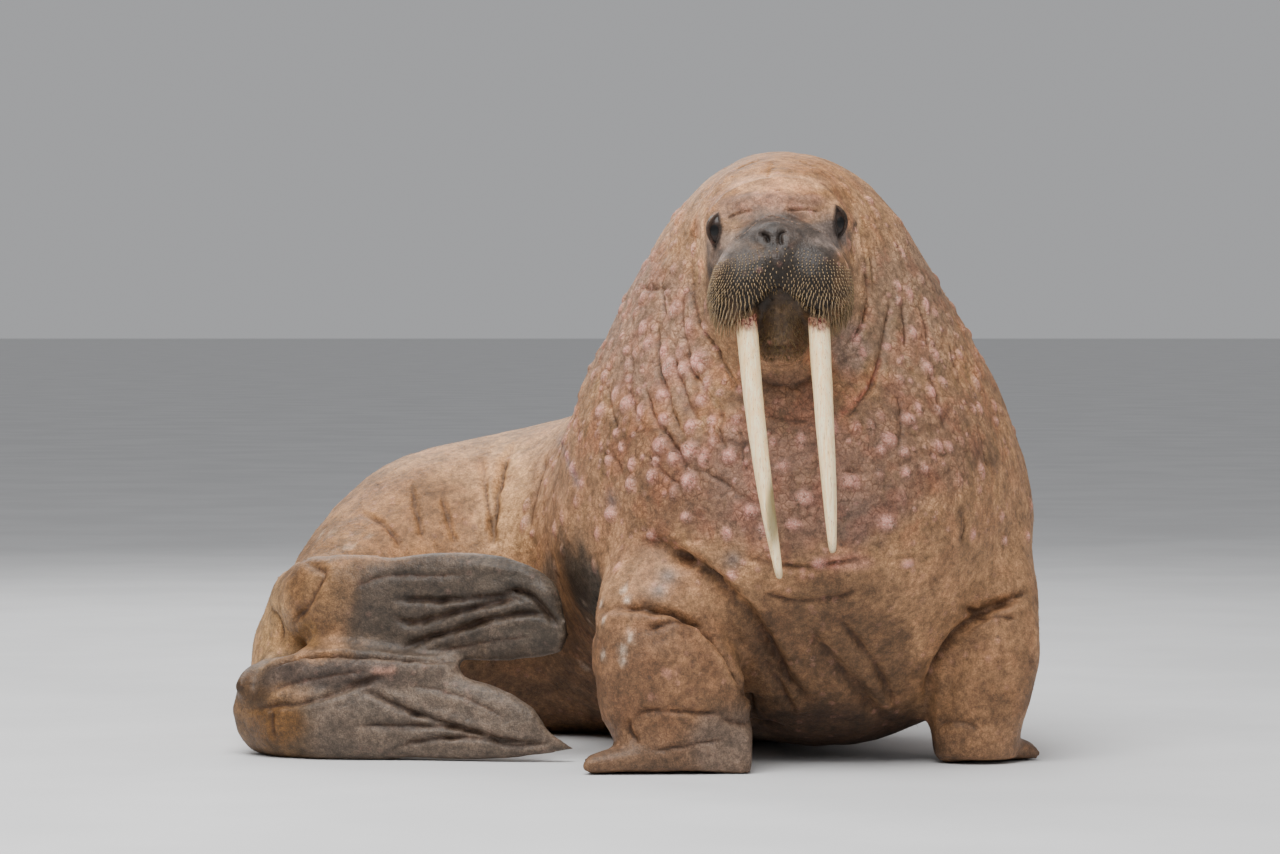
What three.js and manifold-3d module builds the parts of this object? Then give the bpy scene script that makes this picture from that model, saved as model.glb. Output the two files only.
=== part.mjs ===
// A bull walrus at life size: it sits up on its foreflippers and faces the viewer, and its hindquarters
// curl round to its right, with both hind flippers turned forward below them.
// Millimetres. +Z is up, the animal looks along -Y, and its left side is at +X.
import * as THREE from "three";
import { mergeVertices } from "three/addons/utils/BufferGeometryUtils.js";
import { edgeTable, triTable } from "three/addons/objects/MarchingCubes.js";
import Module from "manifold-3d";

const wasm = await Module();
wasm.setup();

// Driving dimensions
const GAP = 0.3; // kept between touching pieces
const BODY_STEP = 67.3; // facet size of the trunk
const HEAD_STEP = 22.4; // facet size of the head
const BODY_SOFT = 130; // how far the masses of the trunk melt into each other
const HEAD_SOFT = 34; // the same for the masses of the head
const LIP_SOFT = 16; // the same where whisker pads and chin leave it
const NECK_SOFT = 70; // the same where the head leaves the neck
const HEAD_AT = [2, 62, 1056]; // midpoint between the eyes
const HEAD_ROLL = 3.8; // degrees, its left eye higher
const EYE_RADIUS = 27;
const EYE_BULGE = 11; // how far it stands out of the head
const LID_RADIUS = 6.5; // thickness of the lids' rim
const TUSK_RADIUS = 23; // at the gum
const TUSK_TIP_RADIUS = 7;
const BRISTLE_RADIUS = 2.4;
const BRISTLE_LENGTHS = [15, 40]; // near the nose, and at the lower outer corner of a pad
const BRISTLE_ROOT = 8; // how deep it is sunk in the pad

const v3 = (a) => new THREE.Vector3(...a);
const rad = THREE.MathUtils.degToRad;
const { lerp, clamp } = THREE.MathUtils;

// Flesh as rounded masses that melt into each other
// A mass is an ellipsoid: centre, half-sizes and its turn about X, Y and Z in degrees.

function distanceTo([at, half, turned = [0, 0, 0]]) {
  const centre = v3(at);
  const size = v3(half);
  const turn = new THREE.Quaternion()
    .setFromEuler(new THREE.Euler(...turned.map(rad), "ZYX"))
    .invert();
  const p = new THREE.Vector3();
  return (x, y, z) => {
    p.set(x, y, z).sub(centre).applyQuaternion(turn).divide(size);
    const reach = p.length();
    const slope = p.divide(size).length();
    return slope < 1e-9 ? -Math.min(...half) : (reach * (reach - 1)) / slope;
  };
}

function blend(a, b, softness) {
  const near = Math.max(softness - Math.abs(a - b), 0);
  return Math.min(a, b) - (near * near) / (4 * softness);
}

// The distance to all the masses together, less than zero inside.
function flesh(masses, softness) {
  const parts = masses.map(distanceTo);
  return (x, y, z) => parts.reduce((sum, part) => blend(sum, part(x, y, z), softness), 1e5);
}

// The closed surface where a field is zero inside a box, in facets of about one step.
function surfaceOf(field, low, high, step) {
  const count = low.map((v, i) => Math.ceil((high[i] - v) / step) + 1);
  const place = (i, j, k) => new THREE.Vector3(low[0] + i * step, low[1] + j * step, low[2] + k * step);
  const index = (i, j, k) => i + count[0] * (j + count[1] * k);
  const rim = (n, i) => n === 0 || n === count[i] - 1;
  const values = new Float64Array(count[0] * count[1] * count[2]);
  const eachCell = (reach, work) => {
    for (let k = 0; k < count[2] - reach; k++)
      for (let j = 0; j < count[1] - reach; j++) for (let i = 0; i < count[0] - reach; i++) work(i, j, k);
  };
  eachCell(0, (i, j, k) => {
    const p = place(i, j, k);
    values[index(i, j, k)] = [i, j, k].some(rim) ? step : field(p.x, p.y, p.z);
  });

  // A cube's corners as steps along X, Y and Z, their bits in the cube tables, its edges as corner pairs
  const corners = [
    [0, 0, 0], [1, 0, 0], [0, 1, 0], [1, 1, 0],
    [0, 0, 1], [1, 0, 1], [0, 1, 1], [1, 1, 1],
  ];
  const bits = [1, 2, 8, 4, 16, 32, 128, 64];
  const edges = [
    [0, 1], [1, 3], [2, 3], [0, 2], [4, 5], [5, 7],
    [6, 7], [4, 6], [0, 4], [1, 5], [3, 7], [2, 6],
  ];
  const points = [];
  const fixed = [];
  const known = new Map();
  const triangles = [];
  const crossing = (a, b) => {
    const [ia, ib] = [index(...a), index(...b)];
    const key = Math.min(ia, ib) * values.length + Math.max(ia, ib);
    if (!known.has(key)) {
      const share = clamp(values[ia] / (values[ia] - values[ib]), 0.1, 0.9);
      known.set(key, points.length);
      points.push(place(...a).lerp(place(...b), share));
      fixed.push(a.some(rim) || b.some(rim));
    }
    return known.get(key);
  };
  eachCell(1, (i, j, k) => {
    const cube = corners.map(([x, y, z]) => [i + x, j + y, k + z]);
    const inside = cube.reduce((sum, c, n) => sum + (values[index(...c)] < 0 ? bits[n] : 0), 0);
    if (!edgeTable[inside]) return;
    for (let n = inside * 16; triTable[n] >= 0; n += 3) {
      const ends = [0, 1, 2].map((m) => edges[triTable[n + m]]);
      triangles.push(ends.map(([a, b]) => crossing(cube[a], cube[b])));
    }
  });
  relax(points, fixed, triangles, field, step);
  return meshOf(points, triangles);
}

// Evens the facets out: each point goes towards the middle of its neighbours and back onto the surface.
function relax(points, fixed, triangles, field, step) {
  const around = points.map(() => new Set());
  for (const [a, b, c] of triangles) {
    around[a].add(b).add(c);
    around[b].add(a).add(c);
    around[c].add(a).add(b);
  }
  const e = step * 0.05;
  for (let pass = 0; pass < 6; pass++) {
    const next = points.map((p, n) => {
      const middle = new THREE.Vector3();
      around[n].forEach((m) => middle.add(points[m]));
      return p.clone().lerp(middle.divideScalar(around[n].size), 0.6);
    });
    next.forEach((p, n) => {
      if (fixed[n]) return;
      const here = field(p.x, p.y, p.z);
      const slope = new THREE.Vector3(
        field(p.x + e, p.y, p.z) - here,
        field(p.x, p.y + e, p.z) - here,
        field(p.x, p.y, p.z + e) - here,
      ).divideScalar(e);
      const pull = clamp(-here / Math.max(slope.lengthSq(), 0.2), -step, step);
      points[n].copy(p.addScaledVector(slope, pull));
    });
  }
}

function meshOf(points, triangles) {
  const places = new Float32Array(points.flatMap((p) => p.toArray()));
  return new THREE.BufferGeometry()
    .setAttribute("position", new THREE.BufferAttribute(places, 3))
    .setIndex(triangles.flat());
}

// A skin over rings of points, each ring a list of the same length, closed with a point at each end.
function loft(rings) {
  const round = rings[0].length;
  const middle = (ring) => ring.reduce((sum, p) => sum.add(p), new THREE.Vector3()).divideScalar(round);
  const points = [...rings.flat(), middle(rings[0]), middle(rings.at(-1))];
  const triangles = [];
  const last = (rings.length - 1) * round;
  for (let n = 0; n < round; n++) {
    const m = (n + 1) % round;
    triangles.push([points.length - 2, m, n], [points.length - 1, last + n, last + m]);
    for (let base = 0; base < last; base += round)
      triangles.push([base + n, base + m, base + round + m], [base + n, base + round + m, base + round + n]);
  }
  return meshOf(points, triangles);
}

// A limb through stations: place, half-width and half-thickness, with the width lying along side.
function limb(stations, side, round = 12, lengths = 7) {
  const path = new THREE.CatmullRomCurve3(stations.map(([at]) => v3(at)), false, "centripetal");
  const size = new THREE.CatmullRomCurve3(stations.map(([, wide, thick]) => v3([wide, thick, 0])));
  const across = v3(side).normalize();
  const rings = [];
  for (let n = 0; n <= lengths; n++) {
    const t = n / lengths;
    const at = path.getPoint(t);
    const { x: wide, y: thick } = size.getPoint(t);
    const along = path.getTangent(t);
    const up = new THREE.Vector3().crossVectors(along, across).normalize();
    const flat = new THREE.Vector3().crossVectors(up, along).normalize();
    const ring = [];
    for (let m = 0; m < round; m++) {
      const angle = (2 * Math.PI * m) / round;
      const p = at.clone().addScaledVector(flat, wide * Math.cos(angle));
      ring.push(p.addScaledVector(up, thick * Math.sin(angle)));
    }
    rings.push(ring);
  }
  return loft(rings);
}

// A flipper's blade: five digits from root to tip through a middle point, with webs between them.
// up is the way the blade's upper face looks; thick is its half-thickness at the root and at the tip.
function blade({ digits, up, thick, web = 0.95, rows = 6 }) {
  const face = v3(up).normalize();
  const curves = digits.map((points) => new THREE.QuadraticBezierCurve3(...points.map(v3)));
  const between = 4;
  const columns = (digits.length - 1) * between;
  const ring = (t) => {
    const upper = [];
    const lower = [];
    for (let c = 0; c <= columns; c++) {
      const digit = Math.min(Math.floor(c / between), digits.length - 2);
      const share = c / between - digit;
      const bulge = Math.abs(Math.cos(Math.PI * share)); // 1 on a digit, 0 between two
      const reach = t * lerp(web, 1, bulge * bulge);
      const p = curves[digit].getPoint(reach).lerp(curves[digit + 1].getPoint(reach), share);
      const edge = c === 0 || c === columns ? 0.5 : 1;
      const depth = lerp(thick[0], thick[1], t) * lerp(0.72, 1, bulge) * edge;
      upper.push(p.clone().addScaledVector(face, depth));
      lower.push(p.clone().addScaledVector(face, -depth));
    }
    return [...upper, ...lower.reverse()];
  };
  const rings = [];
  for (let n = 0; n <= rows; n++) rings.push(ring(n / rows));
  return loft(rings);
}

// Solids: joining and cutting

function solidOf(geometry) {
  const bare = geometry.clone();
  ["normal", "uv"].forEach((name) => bare.deleteAttribute(name));
  const merged = mergeVertices(bare, 1e-3);
  const made = new wasm.Manifold(
    new wasm.Mesh({
      numProp: 3,
      vertProperties: merged.attributes.position.array,
      triVerts: new Uint32Array(merged.index.array),
    }),
  );
  return made.volume() < 0 ? turnedRound(merged) : made;
}

function turnedRound(geometry) {
  const flipped = geometry.clone();
  const order = [...geometry.index.array];
  for (let n = 0; n < order.length; n += 3) [order[n], order[n + 1]] = [order[n + 1], order[n]];
  return solidOf(flipped.setIndex(order));
}

function geometryOf(solid) {
  const { vertProperties, triVerts } = solid.getMesh();
  return new THREE.BufferGeometry()
    .setAttribute("position", new THREE.BufferAttribute(new Float32Array(vertProperties), 3))
    .setIndex([...triVerts]);
}

// The same surface a gap further out, which cuts a neighbour clear of it.
function grown(solid, gap = GAP) {
  const skin = mergeVertices(geometryOf(solid), 1e-3);
  skin.computeVertexNormals();
  const at = skin.attributes.position;
  const out = skin.attributes.normal;
  for (let n = 0; n < at.count; n++) {
    const p = new THREE.Vector3().fromBufferAttribute(at, n);
    at.setXYZ(n, ...p.addScaledVector(new THREE.Vector3().fromBufferAttribute(out, n), gap).toArray());
  }
  return solidOf(skin);
}

const bodiesOf = (solid) => solid.decompose().sort((a, b) => b.volume() - a.volume());
const largest = (solid) => bodiesOf(solid)[0];

// Parts a solid at a plane given by a point and its normal: the piece the normal points to comes first.
function parted(solid, at, normal) {
  const n = v3(normal).normalize();
  const offset = n.dot(v3(at));
  const front = solid.trimByPlane(n.toArray(), offset + GAP / 2);
  const rear = solid.trimByPlane(n.clone().negate().toArray(), -offset + GAP / 2);
  return [largest(front), largest(rear)];
}

const onFloor = (solid) => largest(solid.trimByPlane([0, 0, 1], 0));

// The trunk: chest, back, loins and hips, from the neck round to the tail
const TRUNK = [
  [[30, 380, 909], [272, 255, 308], [-12, 0, 0]],
  [[38, 470, 690], [405, 380, 350]],
  [[50, 480, 470], [488, 390, 375]],
  [[60, 230, 500], [330, 245, 290]],
  [[110, 420, 240], [310, 250, 215]],
  [[-30, 800, 410], [450, 400, 425]],
  [[-250, 1040, 335], [410, 370, 345]],
  [[-500, 1120, 298], [350, 330, 318]],
  [[-710, 1040, 270], [265, 300, 312]],
  [[-835, 850, 212], [180, 260, 230]],
  [[-936, 672, 158], [128, 172, 160]],
];

// The head, measured from the midpoint between the eyes, before its roll
const HEAD = [
  [[0, 165, 0], [154, 185, 137]],
  [[0, 30, 34], [122, 84, 48]],
  [[0, -40, -36], [102, 112, 52]],
  [[0, -78, -100], [92, 84, 74]],
  [[-84, 30, -78], [52, 92, 100]],
  [[84, 30, -78], [52, 92, 100]],
  [[-90, 20, -2], [34, 52, 38]],
  [[90, 20, -2], [34, 52, 38]],
  [[-5, 60, -180], [112, 120, 100]],
];
const PAD = [[66, -98, -112], [70, 74, 88], [0, -13, 0]];
const PHILTRUM = [[0, -90, -112], [66, 104, 84]]; // the pads meet inside it
const CHIN = [[-4, -52, -197], [57, 84, 75]];
const MOUTH = [[-10, -150, -216], [68, 112, 95]]; // the opening under the pads that the chin fills
const CHIN_STEP = 7; // how far its front lies behind the roll below it
const CHIN_ROLL = -222; // the top of that roll
const LOWER_LIP = [[-44, -174], [-32, -156], [-6, -142], [22, -156], [36, -176]]; // across and up
const LIP_RADIUS = 6;
const EYE_FROM = [50, 20, -4]; // from inside the head,
const EYE_OUT = [0.88, -0.46, 0.1]; // the way the eye looks
const NOSE_SHIFT = -7; // the nose points a little to its right
const NOSTRIL = [[34, -12], [20, -18], [15, -38]]; // across from the nose's middle, and up

const headFrame = new THREE.Matrix4()
  .makeTranslation(...HEAD_AT)
  .multiply(new THREE.Matrix4().makeRotationY(-rad(HEAD_ROLL)));
const inHead = (at) => v3(at).applyMatrix4(headFrame);
const turnOf = (direction) => v3(direction).transformDirection(headFrame);
const headTurn = [0, -HEAD_ROLL, 0];
const headMass = ([at, half, turn = [0, 0, 0]]) => [
  inHead(at).toArray(),
  half,
  turn.map((a, i) => a + headTurn[i]),
];

const mirrored = ([[x, y, z], half, [a, b, c]]) => [[-x, y, z], half, [a, -b, -c]];
const trunkField = flesh(TRUNK, BODY_SOFT);
const skullField = flesh(HEAD.map(headMass), HEAD_SOFT);
const lipField = flesh([PAD, mirrored(PAD), CHIN].map(headMass), LIP_SOFT);
const headField = (x, y, z) => blend(skullField(x, y, z), lipField(x, y, z), LIP_SOFT);
const bodyField = (x, y, z) => blend(trunkField(x, y, z), headField(x, y, z), NECK_SOFT);

// Head and neck meet on a plane from the nape to the throat
const HEAD_CUT = [0, 160, 1016];
const HEAD_CUT_NORMAL = [0, -0.87, 0.5];

const body = solidOf(surfaceOf(bodyField, [-1280, -160, -90], [700, 1680, 1300], BODY_STEP));
const headBlock = solidOf(surfaceOf(bodyField, [-330, -230, 640], [340, 420, 1290], HEAD_STEP));
const [headWhole] = parted(headBlock, HEAD_CUT, HEAD_CUT_NORMAL);
const [, bodyWhole] = parted(body, HEAD_CUT, HEAD_CUT_NORMAL);

const NECK_CUT = [0, 0, 760];
const NECK_CUT_NORMAL = [0, -0.35, 0.94];
const CHEST_CUT = [-60, 760, 0];
const CHEST_CUT_NORMAL = [0.34, -0.94, 0];
const BACK_CUT = [-400, 0, 0];
const BACK_CUT_NORMAL = [1, 0, 0];
const HIP_CUT = [-960, 940, 0];
const HIP_CUT_NORMAL = [0.6, 0.8, 0];

const [neck, sitting] = parted(onFloor(bodyWhole), NECK_CUT, NECK_CUT_NORMAL);
const [chest, lying] = parted(sitting, CHEST_CUT, CHEST_CUT_NORMAL);
const [back, behind] = parted(lying, BACK_CUT, BACK_CUT_NORMAL);
const [loin, rump] = parted(behind, HIP_CUT, HIP_CUT_NORMAL);

// Tusks, eyes, whisker pads and chin
function tusk(points) {
  const path = new THREE.CatmullRomCurve3(points.map(v3));
  const rings = [];
  const lengths = 12;
  const round = 12;
  for (let n = 0; n <= lengths; n++) {
    const t = n / lengths;
    const at = path.getPoint(t);
    const along = path.getTangent(t);
    const side = new THREE.Vector3(1, 0, 0);
    const front = new THREE.Vector3().crossVectors(along, side).normalize();
    const radius = lerp(TUSK_RADIUS, TUSK_TIP_RADIUS, Math.pow(t, 2.2));
    const ring = [];
    for (let m = 0; m < round; m++) {
      const angle = (2 * Math.PI * m) / round;
      const p = at.clone().addScaledVector(side, 0.92 * radius * Math.cos(angle));
      ring.push(p.addScaledVector(front, 1.1 * radius * Math.sin(angle)));
    }
    rings.push(ring);
  }
  rings.push(rings.at(-1).map((p) => p.clone().lerp(path.getPoint(1), 0.45).add(v3([0, 0, -4]))));
  return solidOf(loft(rings));
}

const TUSK_RIGHT = [[-66, -35, 980], [-58, -62, 876], [-42, -88, 700], [-18, -106, 520], [4, -104, 391]];
const TUSK_LEFT = [[78, -35, 985], [80, -62, 880], [88, -88, 720], [98, -106, 560], [105, -104, 440]];

const LID_SHARE = 0.42; // how far forward on the eye the rim lies
const PAD_DEPTH = 13; // how far a pad's cut goes past its mass

// The point where a ray from inside a form comes out of it
function skinAlong(from, direction, field = bodyField) {
  const p = from.clone();
  for (let n = 0; n < 60; n++) p.addScaledVector(direction, -field(p.x, p.y, p.z) * 0.7);
  return p;
}

function eye(sign) {
  const out = turnOf([sign * EYE_OUT[0], EYE_OUT[1], EYE_OUT[2]]);
  const [x, y, z] = EYE_FROM;
  const centre = skinAlong(inHead([sign * x, y, z]), out).addScaledVector(out, EYE_BULGE - EYE_RADIUS);
  const ball = solidOf(new THREE.SphereGeometry(EYE_RADIUS, 14, 8).translate(...centre));
  const rim = new THREE.TorusGeometry(EYE_RADIUS, LID_RADIUS, 6, 14);
  rim.applyQuaternion(new THREE.Quaternion().setFromUnitVectors(v3([0, 0, 1]), out));
  rim.translate(...centre.clone().addScaledVector(out, EYE_RADIUS * LID_SHARE));
  return { ball, lids: solidOf(rim) };
}

function nostril(sign) {
  const stations = NOSTRIL.map(([x, z]) => {
    const back = turnOf([0, -1, 0]);
    const at = skinAlong(inHead([NOSE_SHIFT + sign * x, 0, z]), back);
    return [at.addScaledVector(back, 2).toArray(), 6, 9];
  });
  return solidOf(limb(stations, [1, 0, 0.3], 8, 5));
}

// The lower lip, a roll along the upper edge of the chin
function lowerLip() {
  const chinSkin = distanceTo(headMass([CHIN[0], CHIN[1].map((v) => v - CHIN_STEP)]));
  const stations = LOWER_LIP.map(([x, z]) => {
    const at = skinAlong(inHead([x, CHIN[0][1], z]), turnOf([0, -1, 0]), chinSkin);
    return [at.toArray(), LIP_RADIUS, LIP_RADIUS];
  });
  return solidOf(limb(stations, [0, 1, 0], 6, 8));
}

// Cutting balls: what they hold of the head becomes a whisker pad or the chin
function bite([at, half, turn = [0, 0, 0]], more, round = 14) {
  const [centre, size, turned] = headMass([at, half.map((v) => v + more), turn]);
  return solidOf(
    new THREE.SphereGeometry(1, round, Math.round(round * 0.65))
      .scale(...size)
      .applyMatrix4(new THREE.Matrix4().makeRotationFromEuler(new THREE.Euler(...turned.map(rad), "ZYX")))
      .translate(...centre),
  );
}

const tuskRight = tusk(TUSK_RIGHT);
const tuskLeft = tusk(TUSK_LEFT);
const tuskRoom = grown(tuskRight).add(grown(tuskLeft));
const eyeRight = eye(-1);
const eyeLeft = eye(1);
const sockets = grown(eyeRight.ball).add(grown(eyeLeft.ball));

const padBite = bite(PAD, PAD_DEPTH).add(bite(mirrored(PAD), PAD_DEPTH)).add(bite(PHILTRUM, 0));
const mouth = bite(MOUTH, 0, 16);
const sideways = turnOf([1, 0, 0]).toArray();
const pierced = headWhole.subtract(nostril(-1)).subtract(nostril(1)).subtract(tuskRoom);
const muzzle = pierced.intersect(padBite).subtract(grown(mouth));
const [padLeft, padRight] = parted(muzzle, inHead([NOSE_SHIFT, 0, 0]).toArray(), sideways);
const chinRoll = headWhole.trimByPlane([0, 0, -1], -inHead([0, 0, CHIN_ROLL]).z);
const chin = bite(CHIN, -CHIN_STEP, 18).add(lowerLip()).add(chinRoll).intersect(mouth).subtract(tuskRoom);
const lidded = pierced.add(eyeRight.lids).add(eyeLeft.lids).subtract(sockets);
const head = lidded.subtract(grown(padBite)).subtract(grown(mouth));

// Bristles: rows of tapered quills on each pad, which lean down and lengthen towards its lower outer corner
const BRISTLE_ROWS = [14, -4, -21, -38, -54]; // degrees above the middle of the pad
const BRISTLE_SPREAD = [-26, 84]; // degrees from straight ahead towards its outer side
const BRISTLES_PER_ROW = 6;
const BRISTLE_SCATTER = 4; // degrees
const BRISTLE_LEANS = [1.5, 1, 0.6, 0.3]; // how steeply it bends down, the first that keeps it clear
const BRISTLE_BOW = 0.38; // share of its length where it starts to bend
const BRISTLE_CLEARANCE = 2.5; // kept from all that isn't its own pad
const BRISTLE_SEED = 41;

THREE.MathUtils.seededRandom(BRISTLE_SEED);
const draw = () => THREE.MathUtils.seededRandom();

function outwardAt(p) {
  const e = 1;
  return new THREE.Vector3(
    bodyField(p.x + e, p.y, p.z) - bodyField(p.x - e, p.y, p.z),
    bodyField(p.x, p.y + e, p.z) - bodyField(p.x, p.y - e, p.z),
    bodyField(p.x, p.y, p.z + e) - bodyField(p.x, p.y, p.z - e),
  ).normalize();
}

function quill(path) {
  const cone = new THREE.ConeGeometry(BRISTLE_RADIUS, 1, 3, 2);
  const at = cone.attributes.position;
  const along = path.getTangent(0.5);
  const side = new THREE.Vector3().crossVectors(along, v3([0, 1, 0])).normalize();
  const front = new THREE.Vector3().crossVectors(side, along);
  for (let n = 0; n < at.count; n++) {
    const p = path.getPoint(at.getY(n) + 0.5);
    p.addScaledVector(side, at.getX(n)).addScaledVector(front, at.getZ(n));
    at.setXYZ(n, ...p.toArray());
  }
  return solidOf(cone);
}

const axisPoints = (points) => new THREE.CatmullRomCurve3(points.map(v3)).getPoints(60);
const tuskAxes = [TUSK_RIGHT, TUSK_LEFT].map(axisPoints);

function clearOfAll(path) {
  const [half, tip] = [path.getPoint(0.7), path.getPoint(1)];
  const free = (p, more) => bodyField(p.x, p.y, p.z) > more;
  const offTusks = (p) =>
    tuskAxes.every((axis) => axis.every((q) => q.distanceTo(p) > 1.1 * TUSK_RADIUS + BRISTLE_CLEARANCE));
  return free(half, 1) && free(tip, BRISTLE_CLEARANCE) && offTusks(half) && offTusks(tip);
}

function bristled(pad, sign) {
  const own = sign > 0 ? PAD : mirrored(PAD);
  const biteSkin = distanceTo(headMass([own[0], own[1].map((v) => v + PAD_DEPTH), own[2]]));
  const mouthSkin = distanceTo(headMass(MOUTH));
  const quills = [];
  BRISTLE_ROWS.forEach((height, row) => {
    for (let n = 0; n < BRISTLES_PER_ROW; n++) {
      const share = (n + 0.5 * (row % 2)) / (BRISTLES_PER_ROW - 0.5);
      const turn = rad(lerp(...BRISTLE_SPREAD, share) + BRISTLE_SCATTER * (draw() - 0.5));
      const lift = rad(height + BRISTLE_SCATTER * (draw() - 0.5));
      const level = Math.cos(lift);
      const ahead = turnOf([sign * Math.sin(turn) * level, -Math.cos(turn) * level, Math.sin(lift)]);
      const skin = skinAlong(inHead(own[0]), ahead);
      const out = outwardAt(skin);
      const low = row / (BRISTLE_ROWS.length - 1);
      const length = lerp(...BRISTLE_LENGTHS, low * lerp(0.35, 1, share)) * lerp(0.9, 1.1, draw());
      const place = skin.toArray();
      if (biteSkin(...place) > -BRISTLE_RADIUS || mouthSkin(...place) < BRISTLE_ROOT) continue;
      for (const lean of BRISTLE_LEANS) {
        const tip = out.clone().add(v3([0, 0, -lean])).normalize().multiplyScalar(length).add(skin);
        const path = new THREE.QuadraticBezierCurve3(
          skin.clone().addScaledVector(out, -BRISTLE_ROOT),
          skin.clone().addScaledVector(out, length * BRISTLE_BOW),
          tip,
        );
        if (!clearOfAll(path)) continue;
        quills.push(quill(path));
        break;
      }
    }
  });
  return largest(wasm.Manifold.union([pad, ...quills]).subtract(tuskRoom));
}

// Forelimbs and hind limbs
const FOREARM_RIGHT = [
  [[-205, 330, 430], 90, 100],
  [[-238, 135, 315], 112, 112],
  [[-226, 100, 235], 132, 112],
  [[-196, 95, 150], 150, 96],
  [[-172, 96, 80], 132, 80],
  [[-166, 98, 10], 124, 70],
];
const HAND_RIGHT = {
  digits: [
    [[-45, 42, 36], [-230, 14, 44], [-378, 20, 14]],
    [[-40, 70, 40], [-230, 60, 46], [-376, 62, 14]],
    [[-40, 105, 42], [-220, 112, 46], [-362, 108, 14]],
    [[-45, 142, 40], [-210, 160, 42], [-335, 160, 14]],
    [[-60, 175, 34], [-200, 205, 34], [-290, 212, 14]],
  ],
  up: [0, 0, 1],
  thick: [46, 18],
};
const FOREARM_LEFT = [
  [[440, 440, 430], 80, 110],
  [[450, 330, 315], 90, 108],
  [[437, 295, 220], 98, 100],
  [[416, 290, 140], 99, 85],
  [[404, 290, 75], 93, 72],
  [[402, 292, 10], 88, 66],
];
const HAND_LEFT = {
  digits: [
    [[330, 262, 36], [450, 250, 40], [540, 330, 12]],
    [[335, 290, 38], [445, 295, 42], [536, 390, 12]],
    [[340, 320, 40], [430, 345, 42], [520, 440, 12]],
    [[345, 350, 38], [410, 390, 38], [490, 480, 12]],
    [[350, 375, 34], [390, 430, 32], [440, 500, 12]],
  ],
  up: [0, 0, 1],
  thick: [44, 16],
};
const ANKLE_RIGHT = [
  [[-925, 720, 280], 88, 85],
  [[-945, 580, 302], 86, 78],
  [[-890, 470, 308], 96, 62],
  [[-780, 410, 304], 102, 44],
  [[-660, 375, 302], 84, 20],
];
const FOOT_RIGHT = {
  digits: [
    [[-830, 430, 380], [-545, 350, 458], [-426, 316, 354]],
    [[-830, 430, 342], [-560, 335, 378], [-406, 306, 312]],
    [[-830, 430, 300], [-560, 333, 302], [-400, 304, 278]],
    [[-830, 430, 262], [-560, 335, 236], [-390, 306, 246]],
    [[-830, 430, 232], [-555, 350, 172], [-412, 315, 216]],
  ],
  up: [0, -1, 0],
  thick: [42, 18],
};
const ANKLE_LEFT = [
  [[-930, 640, 110], 86, 85],
  [[-1012, 490, 94], 98, 80],
  [[-935, 395, 76], 84, 66],
  [[-800, 350, 80], 86, 44],
  [[-680, 330, 80], 72, 20],
];
const FOOT_LEFT = {
  digits: [
    [[-830, 375, 150], [-590, 325, 204], [-468, 302, 106]],
    [[-830, 375, 122], [-600, 312, 145], [-450, 294, 84]],
    [[-830, 375, 90], [-610, 308, 86], [-446, 290, 62]],
    [[-830, 375, 60], [-600, 308, 38], [-420, 290, 42]],
    [[-830, 375, 14], [-570, 315, -14], [-386, 292, 26]],
  ],
  up: [0, -1, 0],
  thick: [42, 18],
};
const HIND_ROLL = [
  [[-1000, 440, 165], 34, 40],
  [[-900, 380, 172], 40, 44],
  [[-760, 348, 178], 36, 40],
  [[-670, 335, 180], 27, 32],
  [[-620, 335, 180], 15, 20],
];
const TAIL = [
  [[-985, 560, 168], 34, 26],
  [[-1046, 452, 150], 30, 20],
  [[-1062, 398, 138], 18, 12],
];

const limbSolid = (stations, sideways) => solidOf(limb(stations, sideways));
const bladeSolid = (spec) => onFloor(solidOf(blade(spec)));

const [forearmRight, forearmLeft] = [FOREARM_RIGHT, FOREARM_LEFT].map((stations) =>
  onFloor(limbSolid(stations, [1, 0, 0])),
);
const [handRight, handLeft] = [HAND_RIGHT, HAND_LEFT].map(bladeSolid);
const hindRoll = solidOf(limb(HIND_ROLL, [0, 0, 1], 8, 5)); // the fold of skin between the hind flippers
const ankleRight = onFloor(limbSolid(ANKLE_RIGHT, [0, 0, 1]));
const ankleLeft = onFloor(limbSolid(ANKLE_LEFT, [0, 0, 1]).add(hindRoll));
const [footRight, footLeft] = [FOOT_RIGHT, FOOT_LEFT].map(bladeSolid);
const tailWhole = limbSolid(TAIL, [0, 0, 1]);

// Each piece is cut clear of those before it.
function cutInTurn(first, ...rest) {
  let room = grown(first);
  return rest.map((solid) => {
    const cut = largest(solid.subtract(room));
    room = room.add(grown(solid)).add(solid); // the solid too, because its sharp edges can grow inwards
    return cut;
  });
}

const limbs = cutInTurn(
  onFloor(bodyWhole),
  handRight,
  handLeft,
  forearmRight,
  forearmLeft,
  ankleLeft,
  ankleRight,
  footLeft,
  footRight,
  tailWhole,
);

// The finished group, with its origin under the middle of its bounding box
const HIDE = { color: 0xa9835b, roughness: 0.85 };
const GREY_HIDE = { color: 0x7d6a5a, roughness: 0.85 };
const IVORY = { color: 0xd9cba6, roughness: 0.45 };
const EYE = { color: 0x1b1410, roughness: 0.1 };

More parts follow.
